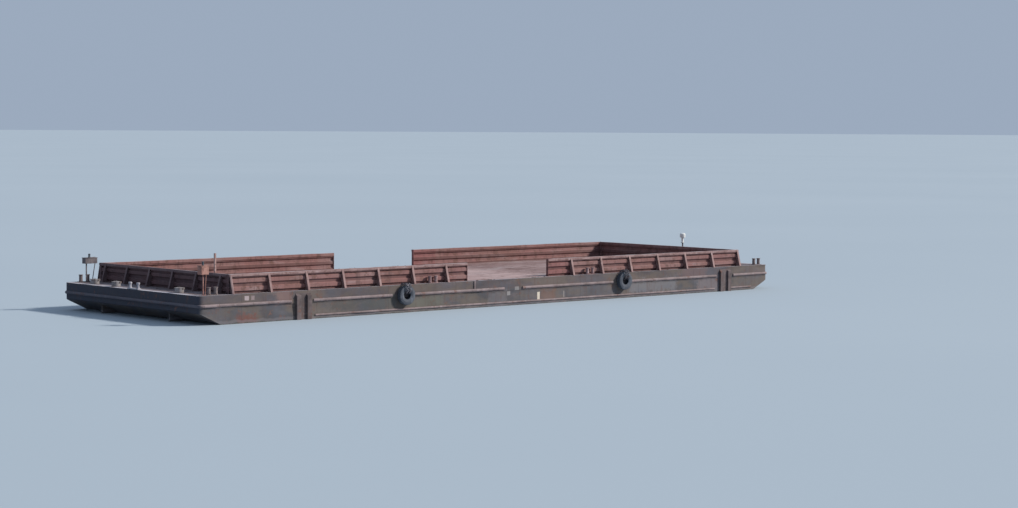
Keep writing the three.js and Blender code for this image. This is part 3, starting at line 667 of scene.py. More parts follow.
def end_point(x, row, column):
    """On the stern's or the bow's face, which is dented like the sides."""
    if abs(column) == 1:
        return side_point(x, row, column)
    _, reach, z = side_point(x, row, 1)
    end = math.copysign(1, x)
    free = (1 - abs(2 * row - 1) ** 6) * (1 - abs(column) ** 20)
    y = column * reach
    return x - end * free * max(0.0, side_dent(y + END_SHIFT * end, z + DEPTH)), y, z


def hull_shape():
    """Grids over the sides, deck, bottom and ends, welded where they meet."""
    stations = hull_stations()
    rows = np.concatenate([[0, 0.01, 0.025, 0.05], np.linspace(0.085, 1, 27)])
    columns = np.linspace(-1, 1, 73)
    grids = [grid([[side_point(x, row, side) for row in rows] for x in stations]) for side in (-1, 1)]
    for level_point in (deck_point, bottom_point):
        grids.append(grid([[level_point(x, column) for column in columns] for x in stations]))
    for x in (-HALF_LENGTH, HALF_LENGTH):
        grids.append(grid([[end_point(x, row, column) for column in columns] for row in rows]))
    return welded(join(*grids))


hull = piece("hull_shell", hull_shape(), HULL, "hull", sharp=50)
hull.data.materials.append(PLATE)
for polygon in hull.data.polygons:
    if polygon.normal.z > 0.9:
        polygon.material_index = 1


# Wear plates that double the deck inside the bin, laid with open seams

WEAR_DECK = {"aft": -26300, "fore": 26250, "half": 8300, "thickness": 8, "long": 9, "wide": 7, "seam": 14}


def wear_plate(x0, x1, y0, y1):
    """A thin plate with a wavy top."""
    loops = []
    for x in np.linspace(x0, x1, 15):
        loop = [(x, y1, -12), (x, y0, -12)]
        for y in np.linspace(y0, y1, 9):
            inward = min(x - x0, x1 - x, y - y0, y1 - y) / 200
            wave = min(1, inward) * (4 + 10 * noise_at(x, y, 60, 1700))
            loop.append((x, y, WEAR_DECK["thickness"] - max(0.0, min(7, wave))))
        loops.append(loop)
    return rings(loops)


def wear_deck_shape():
    """Every other row of plates is shifted by half a length."""
    aft, fore, gap = WEAR_DECK["aft"], WEAR_DECK["fore"], WEAR_DECK["seam"] / 2
    length, width = (fore - aft) / WEAR_DECK["long"], 2 * WEAR_DECK["half"] / WEAR_DECK["wide"]
    plates = []
    for column in range(WEAR_DECK["wide"]):
        shift = column % 2
        seams = aft + (np.arange(1 - shift, WEAR_DECK["long"]) + shift / 2) * length
        edges = [aft, *seams, fore]
        y0 = -WEAR_DECK["half"] + column * width
        for x0, x1 in zip(edges, edges[1:]):
            plates.append(wear_plate(x0 + gap, x1 - gap, y0 + gap, y0 + width - gap))
    return join(*plates)


piece("wear_plates", wear_deck_shape(), PLATE, "hull")


# Bin walls: the ribbed plate under its box rail, knocked about between the struts

RIB_INSET, RECESS_INSET, WALL_PLATE = 450, 560, 50
WALL_RIBS = [(130, 500), (720, 1080)]
TOP_RAIL = {"outer": 420, "inner": 660, "bottom": 1160}
WALL_FOOT = 5
END_PLATE = 40


def wall_face(offset):
    rib, recess = RIB_INSET + offset, RECESS_INSET + offset
    points = [(recess, WALL_FOOT)]
    for low, high in WALL_RIBS:
        points += [(recess, low), (rib, low + 60), (rib, high - 60), (recess, high)]
    return points + [(recess, TOP_RAIL["bottom"])]


def wall_shape(x0, x1, struts, seed):
    """The wall bends in and out between the struts, and its top rail sags a little."""
    outer, inner, bottom = TOP_RAIL["outer"], TOP_RAIL["inner"], TOP_RAIL["bottom"]
    soft = 14
    rail = [(outer, bottom + soft), (outer, WALL_HEIGHT - soft), (outer + soft, WALL_HEIGHT),
            (inner - soft, WALL_HEIGHT), (inner, WALL_HEIGHT - soft), (inner, bottom + soft)]
    profile = wall_face(0) + rail + wall_face(WALL_PLATE)[::-1]
    stations = np.linspace(x0 + 4, x1 - 4, max(8, int((x1 - x0) / 190)))

    def bend(loop):
        x = loop[0, 0]
        clear = min(abs(x - strut) for strut in struts)
        free = min(1.0, max(0.0, clear - 100) / 500)
        for point in loop:
            height = point[2] / WALL_HEIGHT
            knock = noise_at(x, seed, point[2] * 1.5, 1300) + 0.5 * noise_at(x, seed + 90, point[2] * 2, 500)
            point[1] += free * math.sin(math.pi * min(1.0, height)) * 34 * knock
            point[2] -= free * height ** 4 * 16 * abs(noise_at(x, seed, 0, 1700))
        return loop

    plates = [block(x, x + END_PLATE, outer - 5, inner + 5, 1, WALL_HEIGHT + 4) for x in (x0, x1 - END_PLATE)]
    return join(swept(profile, stations, bend), *plates)


FIRST_END = FIRST_FRAME - WALL_OVERRUN
LAST_END = frame_x(LAST_FRAME) + WALL_OVERRUN
RUNS = {"aft": (FIRST_END, GAP_AFT_END), "fore": (GAP_FORE_END, LAST_END)}
END_HALF = HALF_BEAM - TOP_RAIL["inner"] - 10
END_WALL_INSET = {"stern": HALF_LENGTH + FIRST_END, "bow": HALF_LENGTH - LAST_END}

for side, forward in FORWARD.items():
    side_struts = [forward * frame_x(index) for index in range(LAST_FRAME + 1)]
    for part, run in RUNS.items():
        wall = wall_shape(*sorted(forward * x for x in run), side_struts, len(side + part) * 37)
        piece(f"wall_{side}_{part}", at_edge(wall, side), BIN, f"bin_wall_{side}_{part}")
for end, inset in END_WALL_INSET.items():
    wall = moved(wall_shape(-END_HALF, END_HALF, END_STRUTS, len(end) * 53), y=inset - TOP_RAIL["outer"])
    piece(f"wall_{end}", at_edge(wall, end), BIN, f"bin_wall_{end}")


# Rub rails: half-round bars with a worn flat crown, bruised and nicked

UPPER = {"drop": RAIL_DROP, "out": 110, "half": 120, "strip": 12, "strip_half": 160}
LOWER = {"drop": 1830, "out": 76, "half": 80}
CORNER_END = HALF_LENGTH - CORNER - 1
UPPER_RUNS = [(-CORNER_END, frame_x(1.5)), (frame_x(2.1), frame_x(4.3)), (frame_x(4.9), frame_x(7.7)),
              (frame_x(8.28), frame_x(11.3)), (frame_x(11.9), frame_x(15.05)), (frame_x(15.7), CORNER_END)]
LOWER_RUN = (frame_x(2.15), frame_x(15))
LOWER_BOW_RUN = (frame_x(15.55), frame_x(16.4))
LADDER_RAIL = {"x": -4390, "half": 60, "out": 60}
RAIL_SEEDS = {"starboard": 23, "port": 11, "stern": 31, "bow": 47}


def rail_section(rail):
    """A half-round with a flattened crown."""
    return [(-1 - min(0.95, math.cos(a)) / 0.95 * rail["out"], rail["half"] * math.sin(a) - rail["drop"])
            for a in np.radians(np.linspace(-90, 90, 11))]


def bruised(loop, rail, seed):
    """Pushes the bar's crown in where it has been hit."""
    x = loop[0, 0]
    hit = max(0.0, noise_at(x, seed, 0, 900) - 0.05) * 70 + 8 * abs(noise_at(x, seed + 40, 0, 260))
    for point in loop:
        share = (-1 - point[1]) / rail["out"]
        point[1] += min(0.45 * rail["out"], hit) * share
        point[2] += 12 * noise_at(x, seed + 70, 0, 1500) * share
    return loop


def rail_run(rail, run, forward, seed):
    x0, x1 = sorted(forward * x for x in run)
    stations = np.linspace(x0, x1, max(4, int((x1 - x0) / 140)))
    return swept(rail_section(rail), stations, lambda loop: bruised(loop, rail, seed))


def side_rail_shape(forward, seed):
    x, half, out = forward * LADDER_RAIL["x"], LADDER_RAIL["half"], LADDER_RAIL["out"]
    return join(*[rail_run(UPPER, run, forward, seed) for run in UPPER_RUNS],
                block(x - half, x + half, -out, -1, -UPPER["drop"], -2))


def rail_strip_shape():
    """The flat strip behind the bars, which shows where they stop."""
    drop, half = UPPER["drop"], UPPER["strip_half"]
    return block(-CORNER_END, CORNER_END, -UPPER["strip"], -1, -drop - half, -drop + half, 3)


def end_rail_shape(seed):
    """The rail follows the end and both rounded corners."""
    corner = HALF_BEAM - CORNER
    turns = [(x, math.radians(angle)) for x, low in ((-corner, 180), (corner, 270))
             for angle in np.linspace(low, low + 90, 10)]
    path = turns[:10] + [(x, math.radians(270)) for x in np.linspace(-corner, corner, 90)[1:-1]] + turns[10:]
    loops = []
    for x, angle in path:
        loop = bruised(np.array([(x + 40 * angle, y, z) for y, z in rail_section(UPPER)]), UPPER, seed)
        out = CORNER - loop[:, 1]
        loops.append(np.stack([x + math.cos(angle) * out, CORNER + math.sin(angle) * out, loop[:, 2]], 1))
    return rings(loops)


for side, forward in FORWARD.items():
    seed = RAIL_SEEDS[side]
    piece(f"rub_rail_bar_{side}", at_edge(side_rail_shape(forward, seed), side), RAIL,
          f"rub_rail_{side}")
    piece(f"rub_rail_strip_{side}", at_edge(rail_strip_shape(), side), HULL, f"rub_rail_{side}")
    piece(f"lower_rail_bar_{side}", at_edge(rail_run(LOWER, LOWER_RUN, forward, seed + 3), side), RAIL,
          f"lower_rail_{side}")
for end in ("stern", "bow"):
    piece(f"rub_rail_bar_{end}", at_edge(end_rail_shape(RAIL_SEEDS[end]), end), RAIL,
          f"rub_rail_{end}")


# Doubled fender posts, bruised on their faces, on a backing plate

POST = {"width": 400, "out": 190, "top": 250, "bottom": 2750, "slope": 110, "spacing": 950}
POST_PLATE = {"width": 1350, "thickness": 30, "top": 180, "bottom": 2850}
POSTS = {"aft": -20950, "fore": 24400}


def post_shape(x):
    """One upright with chamfered corners and a knocked face."""
    half, out, slope = POST["width"] / 2, POST["out"], POST["slope"]
    heights = np.linspace(-POST["top"] - slope, -POST["bottom"] + slope, 28)
    loops = []
    for across, chamfer in ((-half, 14), (14 - half, 0), (-60, 0), (60, 0), (half - 14, 0), (half, 14)):
        at = x + across
        face = [(at, chamfer - out + 22 * max(0.0, noise_at(at, 0, z, 420)), z) for z in heights]
        loops.append([(at, -1, -POST["top"]), *face, (at, -1, -POST["bottom"])])
    return rings(loops)


def fender_post_shape(x):
    half, deep = POST_PLATE["width"] / 2, POST_PLATE["thickness"]
    parts = [block(x - half, x + half, -deep, -1, -POST_PLATE["bottom"], -POST_PLATE["top"], 8)]
    for offset in (-POST["spacing"] / 2, POST["spacing"] / 2):
        parts.append(post_shape(x + offset))
        for side in (-1, 1):
            weld = x + offset + side * POST["width"] / 2
            parts.append(tube([(weld, -deep, -POST["top"] - 40), (weld, -deep, -POST["bottom"] + 40)], 9))
    return join(*parts)


for side, forward in FORWARD.items():
    for place, x in POSTS.items():
        piece(f"fender_post_pair_{side}_{place}", at_edge(fender_post_shape(forward * x), side), POST_STEEL,
              f"fender_posts_{side}_{place}")
    piece(f"lower_bow_rail_{side}", at_edge(rail_run(LOWER, LOWER_BOW_RUN, forward, 61), side), RAIL,
          f"fender_posts_{side}_fore")


# Tyre fenders and their chains

TYRE = {"radius": 750, "bore": 330, "width": 430, "lugs": 34}
TREAD_ROWS = [(-0.86, -0.46, 14), (-0.40, -0.04, 0), (0.04, 0.40, 0), (0.46, 0.86, 14)]
TYRES = {"aft": (-11440, 760), "fore": (11890, 650)}
STRAND_OFFSET = 140
LINK = {"pitch": 150, "bar": 50, "width": 176}


def tyre_shape():
    """Carcass, sidewall ribs, bead and block tread, about Z."""
    radius, bore, half = TYRE["radius"], TYRE["bore"], TYRE["width"] / 2
    tread = radius - 26
    outside = [(bore, 0.5 * half), (bore - 6, 0.62 * half), (bore + 14, 0.72 * half), (bore + 60, 0.8 * half),
               (0.62 * radius, 0.95 * half), (0.68 * radius, 0.95 * half), (0.70 * radius, 0.985 * half),
               (0.73 * radius, 0.985 * half), (0.75 * radius, 0.96 * half), (0.86 * radius, 0.93 * half),
               (0.93 * radius, 0.86 * half), (tread, 0.72 * half), (tread, 0.3 * half)]
    inside = [(0.86 * radius, 0.3 * half), (0.86 * radius, 0.62 * half), (0.74 * radius, 0.74 * half),
              (0.6 * radius, 0.72 * half)]
    under = [(r, -z) for r, z in reversed(outside)] + [(r, -z) for r, z in reversed(inside)]
    parts = [ring_lathe(outside + under + inside, 60)]
    for row, (low, high, worn) in enumerate(TREAD_ROWS):
        lug = block(tread - 60, radius - worn, -50, 50, low * half, high * half, 9)
        for index in range(TYRE["lugs"]):
            parts.append(turned(lug, (index + 0.5 * (row % 2)) * 360 / TYRE["lugs"]))
    return join(*parts)


def link_shape():
    """One chain link along X."""
    bend = (LINK["width"] - LINK["bar"]) / 2
    straight = LINK["pitch"] / 2 + LINK["bar"] / 2 - bend
    path = [(end * straight + bend * math.cos(angle), bend * math.sin(angle), 0)
            for end, low in ((1, -90), (-1, 90)) for angle in np.radians(np.linspace(low, low + 180, 7))]
    return tube(path, LINK["bar"] / 2, 8, closed=True)


def along_route(route, step):
    """Points a step apart along a smooth route, with the direction at each."""
    route = [Vector(point) for point in route]
    fine = []
    for index, (a, b) in enumerate(zip(route, route[1:])):
        before, after = route[max(0, index - 1)], route[min(len(route) - 1, index + 2)]
        for part in np.linspace(0, 1, 12, endpoint=False):
            fine.append(0.5 * ((2 * a) + (b - before) * part
                               + (2 * before - 5 * a + 4 * b - after) * part ** 2
                               + (3 * a - before - 3 * b + after) * part ** 3))
    fine.append(route[-1])
    found, travelled = [(fine[0], (fine[1] - fine[0]).normalized())], 0.0
    for start, end in zip(fine, fine[1:]):
        travelled += (end - start).length
        if travelled >= step:
            travelled -= step
            found.append((end, (end - start).normalized()))
    return found


def chain_shape(route):
    """Links turned a quarter from each other, an eighth to either side of the run."""
    links = []
    for index, (place, along) in enumerate(along_route(route, LINK["pitch"])):
        points, faces = turned(link_shape(), 90 * (index % 2) + 45, "X")
        turn = np.array(Vector((1, 0, 0)).rotation_difference(along).to_matrix())
        links.append(moved((points @ turn.T, faces), *place))
    return join(*links)


def strand_route(x, drop):
    """From the eye over the tread, down the sidewall and hooked back into the bore."""
    tread = TYRE["radius"] - drop
    return [(x, 90, 90), (x, -130, max(75, tread + 110)), (x, -440, tread + 95), (x, -545, tread - 20),
            (x, -560, tread - 250), (x, -540, tread - 430), (x, -440, tread - 560), (x, -300, tread - 540)]


def fender_gear_shape(drop):
    """Eye plate on the deck edge, two shackle pins and two strands of chain."""
    parts = [block(-STRAND_OFFSET - 90, STRAND_OFFSET + 90, 10, 210, 1, 25)]
    for x in (-STRAND_OFFSET, STRAND_OFFSET):
        for offset in (-44, 44):
            parts.append(block(x + offset - 12, x + offset + 12, 30, 180, 20, 148, 10))
        parts.append(tube([(x - 75, 90, 90), (x + 75, 90, 90)], 20))
        parts.append(chain_shape(strand_route(x, drop)))
    return join(*parts)


for side, forward in FORWARD.items():
    for place, (x, drop) in TYRES.items():
        out = UPPER["strip"] + 3 + TYRE["width"] / 2
        tyre = moved(turned(turned(tyre_shape(), 7 * x / 1000), 90, "X"), forward * x, -out, -drop)
        piece(f"tyre_{side}_{place}", at_edge(tyre, side), RUBBER,
              f"tyre_fender_{side}_{place}")
        piece(f"fender_gear_{side}_{place}", at_edge(moved(fender_gear_shape(drop), forward * x), side),
              CHAIN_STEEL, f"fender_chain_{side}_{place}")


# Bitts, chock and the solids that are kept, with softened edges

BITT = {"radius": 137, "height": 560, "cap": 172, "spacing": 600, "plate": (1000, 390, 30)}
BITTS = [("stern", -28560, 480, MOORING), ("aft", -8450, 215, BITT_PRIMER), ("fore", 8330, 215, BITT_PRIMER),
         ("bow", 29020, 480, MOORING)]
CHOCK = {"shift": 460, "inset": 160, "horn": 525}


def bitt_shape():
    radius, height, cap = BITT["radius"], BITT["height"], BITT["cap"]
    length, width, base = BITT["plate"]
    post = [(radius + 14, base - 4), (radius + 12, base + 8), (radius, base + 22), (radius, 0.45 * height),
            (radius - 4, 0.6 * height), (radius, height - 48), (cap - 6, height - 44), (cap, height - 38),
            (cap, height - 12), (cap - 12, height), (0, height)]
    parts = [block(-length / 2, length / 2, -width / 2, width / 2, 1, base)]
    for x in (-BITT["spacing"] / 2, BITT["spacing"] / 2):
        parts.append(moved(lathe(post, 32), x))
        for angle in (0, 90, 180, 270):
            gusset = moved(swept([(0, 0), (60, 0), (0, 90)], [-8, 8]), 0, radius - 6, base - 2)
            parts.append(moved(turned(gusset, angle), x))
    return join(*parts)


def chock_shape():
    """Two waisted horns with ribs on a long base."""
    horn = [(120, 80), (108, 100), (98, 200), (95, 330), (112, 370), (133, 398), (135, 430), (135, 490),
            (122, 512), (60, 520), (0, 520)]
    rib = swept([(-150, 88), (-150, 100), (-70, 240), (-60, 88)], [-12, 12])
    parts = [block(-700, 700, -150, 150, 1, 90, 14)]
    for x in (-CHOCK["horn"], CHOCK["horn"]):
        parts.append(moved(join(lathe(horn, 32), turned(rib, 180), rib), x))
    return join(*parts)


for side, forward in FORWARD.items():
    for place, x, inset, paint in BITTS:
        piece(f"bitt_pair_{side}_{place}", at_edge(moved(bitt_shape(), forward * x, inset), side), paint,
              f"bitts_{side}_{place}")
piece("chock_and_base", at_edge(moved(chock_shape(), CHOCK["shift"], CHOCK["inset"]), "stern"), CHOCK_STEEL,
      "stern_chock")

KEPT = {"struts_": STRUT, "skeg_": HULL, "hatch_": HATCH, "stern_stanchion": STANCHION}
for name, node in nodes.items():
    for start, material in KEPT.items():
        if name.startswith(start):
            node.data.materials.clear()
            node.data.materials.append(material)
            weld = node.modifiers.new("weld", "WELD")
            weld.merge_threshold = 0.0002
            soft = node.modifiers.new("soft_edges", "BEVEL")
            soft.width = 0.003
            soft.segments = 1
            soft.angle_limit = math.radians(35)


# Towing brackets: two cheeks, a pin with collars, and a bolted foot

TOW_BRACKET = {"x": 28900, "y": 4200, "pin": 310}


def tow_bracket_shape():
    pin = TOW_BRACKET["pin"]
    cheek = [(-260, 40), (-260, 120), (-200, 250), (-130, 400), (-90, 430), (90, 430), (130, 400), (200, 250),
             (260, 120), (260, 40)]
    collar = lathe([(88, 0), (88, 16), (80, 20), (0, 20)], 28)
    parts = [block(-350, 350, -280, 280, 1, 45, 12)]
    for side in (-1, 1):
        parts.append(angled(cheek, *sorted((side * 110, side * 170))))
        parts.append(moved(turned(collar, -90 * side, "X"), 0, side * 171, pin))
        parts += [bolt(x, side * 230, 45, 22) for x in (-300, 300)]
    parts.append(turned(tube([(-210, 0, pin), (210, 0, pin)], 60, 28), 90))
    return join(*parts)


for side, forward in FORWARD.items():
    bracket = moved(tow_bracket_shape(), TOW_BRACKET["x"], -TOW_BRACKET["y"] * forward)
    piece(f"tow_bracket_detail_{side}", bracket, MOORING, f"tow_bracket_{side}")


# Hatches: three round ones, and a large one with fittings on its solids; toggles on the coamings

LARGE = {"along": 450, "across": 750, "height": 260, "top": 297}  # half its length and half its width
ROUND = {"radius": 330, "height": 330, "top": 399}
HINGE = (ROUND["radius"] + 60, ROUND["height"] + 19)
HATCHES = [("stern_centre", "round", -29350, 2750, 0), ("stern_starboard", "round", -29200, -5350, 0),
           ("stern_port", "round", -29200, 5950, 0), ("bow_centre", "large", 28900, -1450, 180)]


def toggle_shape():
    """An eye bolt in its lug with a wing nut, standing at a coaming whose face is the plane x = 0."""
    lug = [block(1, 74, y - 5, y + 5, -70, -10, 3) for y in (-20, 20)]
    screw = join(tube([(0, 0, -40), (0, 0, 88)], 9), lathe([(22, 40), (22, 62), (14, 66), (0, 66)], 12),
                 block(-6, 6, -42, 42, 44, 60, 4), tube([(0, -28, -40), (0, 28, -40)], 9))
    return join(*lug, moved(screw, 52))


def handle_shape(reach, height):
    """A bent round bar standing on a lid, along Y."""
    path = [(0, -reach, 0), (0, -reach, 0.7 * height), (0, -0.82 * reach, height), (0, 0.82 * reach, height),
            (0, reach, 0.7 * height), (0, reach, 0)]
    return tube(path, 9)


def large_hatch_gear():
    """What stands on the coaming, and what stands on the lid."""
    x, y, height, top = LARGE["along"], LARGE["across"], LARGE["height"] - 5, LARGE["top"]
    fixed = [moved(turned(toggle_shape(), 180), -x, place * y, height) for place in (-0.55, 0.0, 0.55)]
    lid = [moved(handle_shape(110, 70), -x + 130, 0, top - 6)]
    for side in (-1, 1):
        fixed += [moved(turned(toggle_shape(), 90 * side), place * x, side * y, height)
                  for place in (-0.45, 0.3)]
        lid.append(block(-x + 30, x - 70, side * 400 - 8, side * 400 + 8, top - 3, top + 26, 4))
    return join(*fixed, block(-x - 6, -x, -y, y, 40, 60, 3)), join(*lid)


def round_hatch_gear():
    """What stands on the coaming, and what stands on the lid."""
    radius, height, top = ROUND["radius"], ROUND["height"], ROUND["top"]
    fixed = [turned(moved(toggle_shape(), radius, 0, height - 5), angle) for angle in (75, 125, 235, 285)]
    fixed += [turned(bolt(radius + 14, 0, 14, 12), angle) for angle in range(0, 360, 30)]
    flange = [(radius + 2, 1), (radius + 30, 1), (radius + 30, 14), (radius + 2, 14)]
    lid = [turned(bolt(250, 0, top - 17, 10), angle) for angle in (45, 135, 225, 315)]
    return join(*fixed, ring_lathe(flange, 40)), join(moved(handle_shape(90, 60), 0, 0, top - 12), *lid)


def round_hatch_ring():
    """The coaming's wall and the two lugs of its hinge."""
    radius, height = ROUND["radius"], ROUND["height"]
    wall = [(radius - 20, 1), (radius, 1), (radius, height - 5), (radius - 5, height), (radius - 15, height),
            (radius - 20, height - 5)]
    x, z = HINGE
    lug = [(radius - 18, z - 120), (x + 12, z - 120), (x + 26, z - 106), (x + 26, z + 14), (x + 14, z + 26),
           (x - 26, z + 26), (x - 26, height - 11), (radius - 18, height - 11)]
    return join(ring_lathe(wall, 64), *[angled(lug, y - 12, y + 12) for y in (-82, 82)])


def round_hatch_cover():
    """A domed lid with its grip, its hinge strap and the pin."""
    rim, under = ROUND["radius"] + 5, ROUND["height"] + 1
    crown = [(0.85, 47), (0.7, 56), (0.5, 62), (0.25, 66), (0, 67)]
    dome = [(rim - 5, under), (rim, under + 5), (rim, under + 30), (rim - 6, under + 36)]
    dome += [(share * rim, under + rise) for share, rise in crown]
    x, z = HINGE
    return join(lathe(dome, 64), block(-rim - 25, -rim + 60, -50, 50, under + 4, under + 32, 6),
                tube([(x, -55, z), (x, 55, z)], 24, 24), block(x - 160, x, -40, 40, z - 2, z + 20, 5))


for place, kind, x, y, angle in HATCHES:
    fixed, on_lid = large_hatch_gear() if kind == "large" else round_hatch_gear()
    piece(f"hatch_toggles_{place}", moved(turned(fixed, angle), x, y), MOORING)
    piece(f"hatch_lid_fittings_{place}", moved(turned(on_lid, angle), x, y), HATCH,
          body=f"lid_{place}")
    if kind == "round":
        piece(f"hatch_ring_{place}", moved(round_hatch_ring(), x, y), HATCH,
              f"hatch_coaming_{place}")
        piece(f"hatch_cover_{place}", moved(round_hatch_cover(), x, y), HATCH,
              f"hatch_lid_{place}", body=f"lid_{place}")
        well = lathe([(ROUND["radius"] - 21, 1), (ROUND["radius"] - 21, 6), (0, 6)], 48)
    else:
        half_x, half_y = LARGE["along"] - 24, LARGE["across"] - 24
        well = block(-half_x, half_x, -half_y, half_y, 1, 6, 2)
    # A near-black plate inside each coaming, painted shade for the dark hold below.
    piece(f"hatch_well_{place}", moved(well, x, y), WELL_PAINTED_SHADE)


# Light stands: a post and a raked brace under a box with a door, vents and a conduit to the lamp

LIGHT_STANDS = {
    "starboard": {"x": -29340, "y": -8540, "from": -300, "to": 320, "half": 260, "bottom": 1480, "top": 2120,
                  "brace_top": 260, "brace_foot": 160, "lamp": 0, "paint": RED_STAND},
    "port": {"x": -28690, "y": 8000, "from": -220, "to": 820, "half": 240, "bottom": 1420, "top": 1870,
             "brace_top": 760, "brace_foot": 500, "lamp": 260, "paint": STAND},
}
GLASS_PROFILE = [(66, 54), (70, 62), (66, 74), (70, 90), (66, 104), (70, 120), (66, 136), (70, 152),
                 (66, 168), (70, 184), (66, 198), (62, 210)]


def light_stand_shape(row, outward):
    """The door is on the outboard face."""
    left, right, half, bottom, top = row["from"], row["to"], row["half"], row["bottom"], row["top"]
    face, foot, middle = outward * half, row["brace_foot"], (bottom + top) / 2

    def on_face(x0, x1, proud, z0, z1, bevel):
        return block(x0, x1, *sorted((face, face + outward * proud)), z0, z1, bevel)

    rib = moved(swept([(0, 0), (60, 0), (0, 110)], (-5, 5)), 0, 46, 18)
    conduit = [(right + 12, 0.35 * half, bottom + 120), (right + 12, 0.35 * half, top + 14),
               (right - 30, 0.35 * half, top + 26), (row["lamp"] + 90, 0, top + 14)]
    parts = [
        block(-130, 130, -130, 130, 1, 20), block(foot - 70, foot + 70, -70, 70, 1, 18),
        block(-130, foot + 70, -40, 40, 1, 16),
        tube([(0, 0, 10), (0, 0, bottom + 10)], 50, 20), rib, turned(rib, 180),
        tube([(foot, 0, 10), (row["brace_top"], 0, bottom + 10)], 32, 14),
        block(left, right, -half, half, bottom, top - 4, 10),
        block(left - 30, right + 30, -half - 30, half + 30, top - 30, top, 8),
        on_face(left + 45, right - 45, 8, bottom + 45, top - 70, 4),
        on_face(right - 95, right - 70, 14, middle - 40, middle + 40, 4),
        tube(conduit, 9),
    ]
    for height in (bottom + 110, top - 140):
        parts.append(tube([(left + 40, face + outward * 12, height + rise) for rise in (-28, 28)], 9))
    for low in range(top - 150, top - 80, 14):
        parts.append(on_face(left + 190, right - 190, 13, low, low + 6, 2))
    parts += [bolt(x, y, 19, 16) for x in (-95, 95) for y in (-95, 95)]
    return join(*parts)


def lamp_body_shape():
    """Base, cap and the guard's four bars; the glass stands between them."""
    base = lathe([(95, 1), (95, 44), (88, 52), (70, 56), (0, 56)], 28)
    cap = lathe([(72, 208), (92, 214), (95, 224), (95, 250), (80, 266), (42, 292), (38, 298), (0, 298)], 28)
    bars = [turned(moved(tube([(0, 0, 50), (0, 0, 218)], 5), 84), 45 + 90 * index) for index in range(4)]
    return join(base, cap, ring_lathe([(80, 128), (88, 128), (88, 136), (80, 136)], 28), *bars)


for side, forward in FORWARD.items():
    row = LIGHT_STANDS[side]
    stand = moved(light_stand_shape(row, -forward), row["x"], row["y"])
    piece(f"light_stand_detail_{side}", stand, row["paint"], f"light_stand_{side}")
    lamp_at = (row["x"] + row["lamp"], row["y"], row["top"])
    piece(f"lamp_frame_{side}", moved(lamp_body_shape(), *lamp_at), LAMP, f"stern_lamp_{side}")
    piece(f"lamp_glass_{side}", moved(lathe(GLASS_PROFILE, 28), *lamp_at), GLASS,
          f"stern_lamp_{side}")


# Bow mast with its stays, rungs and cable, and the white lantern on it

MAST = {"x": 28300, "y": -320, "height": 1620, "radius": 55, "stay": 1100}
GROOVES = [point for z in (526, 602, 678)
           for point in ((255, z - 6), (248, z), (248, z + 18), (255, z + 24))]
LANTERN_PROFILE = [(134, 1), (140, 7), (140, 34), (134, 40), (110, 56), (104, 66), (104, 200), (110, 206),
                   (110, 222), (104, 228), (104, 436), (114, 450), (246, 468), (255, 480), *GROOVES,
                   (255, 790), (244, 808), (200, 848), (180, 856), (70, 874), (58, 879), (0, 879)]


def mast_shape():
    height, radius, stay = MAST["height"], MAST["radius"], MAST["stay"]
    cable = [(62, -20, 26), (64, -20, 600), (66, -22, 1200), (64, -20, height - 60), (40, -20, height - 10)]
    parts = [
        block(-180, 180, -180, 180, 1, 25), block(-680, -100, -45, 45, 1, 22),
        block(-45, 45, 100, 600, 1, 22), tube(cable, 9),
        tube([(0, 0, 10), (0, 0, height - 20)], radius, 24),
        tube([(-600, 0, 28), (0, 0, stay)], 28, 14), tube([(0, 520, 28), (0, 0, stay)], 28, 14),
        lathe([(60, height - 30), (150, height - 28), (150, height - 2), (0, height - 2)], 32),
        ring_lathe([(54, stay - 60), (66, stay - 60), (66, stay + 30), (54, stay + 30)], 24),
    ]
    foot = join(moved(swept([(0, 0), (90, 0), (0, 150)], (-6, 6)), 0, radius - 4, 24), bolt(150, 0, 24, 15))
    for index in range(4):
        rung = 320 + 280 * index
        parts += [tube([(20, side * 45, rung), (20, side * 170, rung)], 10) for side in (1, -1)]
        parts.append(turned(foot, 45 + 90 * index))
    return join(*parts)


mast_at = (MAST["x"], MAST["y"])
piece("mast_and_stays", moved(mast_shape(), *mast_at), STAND, "bow_mast")
tabs = [turned(bolt(122, 0, 41, 10), 60 * index) for index in range(6)]
lantern = moved(join(lathe(LANTERN_PROFILE, 40), *tabs), *mast_at, MAST["height"])
piece("lantern_body", lantern, LANTERN, "bow_lantern")


# Deck fittings: manhole covers, sounding caps and lashing rings

SIDE_MANHOLES = [-24500, -14500, -2600, 2100, 13900, 22200]
SIDE_RINGS = [-25300, -18600, -15400, -3900, 3300, 17500, 21000]
END_RINGS = [-7300, -3400, 800, 4600, 7200]


def ring_plate_shape():
    """A lashing ring lying in its saddle."""
    ring = [(70 * math.cos(a), 30 + 62 * math.sin(a), 20) for a in round_angles(16)]
    saddle = tube([(0, -60, 8), (0, -46, 34), (0, -30, 42), (0, -14, 34), (0, 0, 8)], 11)
    return join(block(-70, 70, -90, 40, 1, 14, 4), tube(ring, 11, closed=True), saddle)


def manhole_shape():
    """A raised oval cover with its ring of studs."""
    angles = round_angles(32)
    cover = rings([[((240 - inset) * math.cos(a), (165 - inset) * math.sin(a), height) for a in angles]
                   for inset, height in ((0, 1), (0, 16), (28, 17), (29, 26), (34, 30))])
    studs = [bolt(216 * math.cos(a), 145.2 * math.sin(a), 16, 9) for a in angles[::2] + 0.1]
    return join(cover, *studs)


def sounding_cap_shape():
    cap = lathe([(52, 1), (50, 22), (44, 26), (44, 36), (38, 40), (0, 40)], 20)
    return join(cap, block(-8, 8, -32, 32, 38, 48, 3))


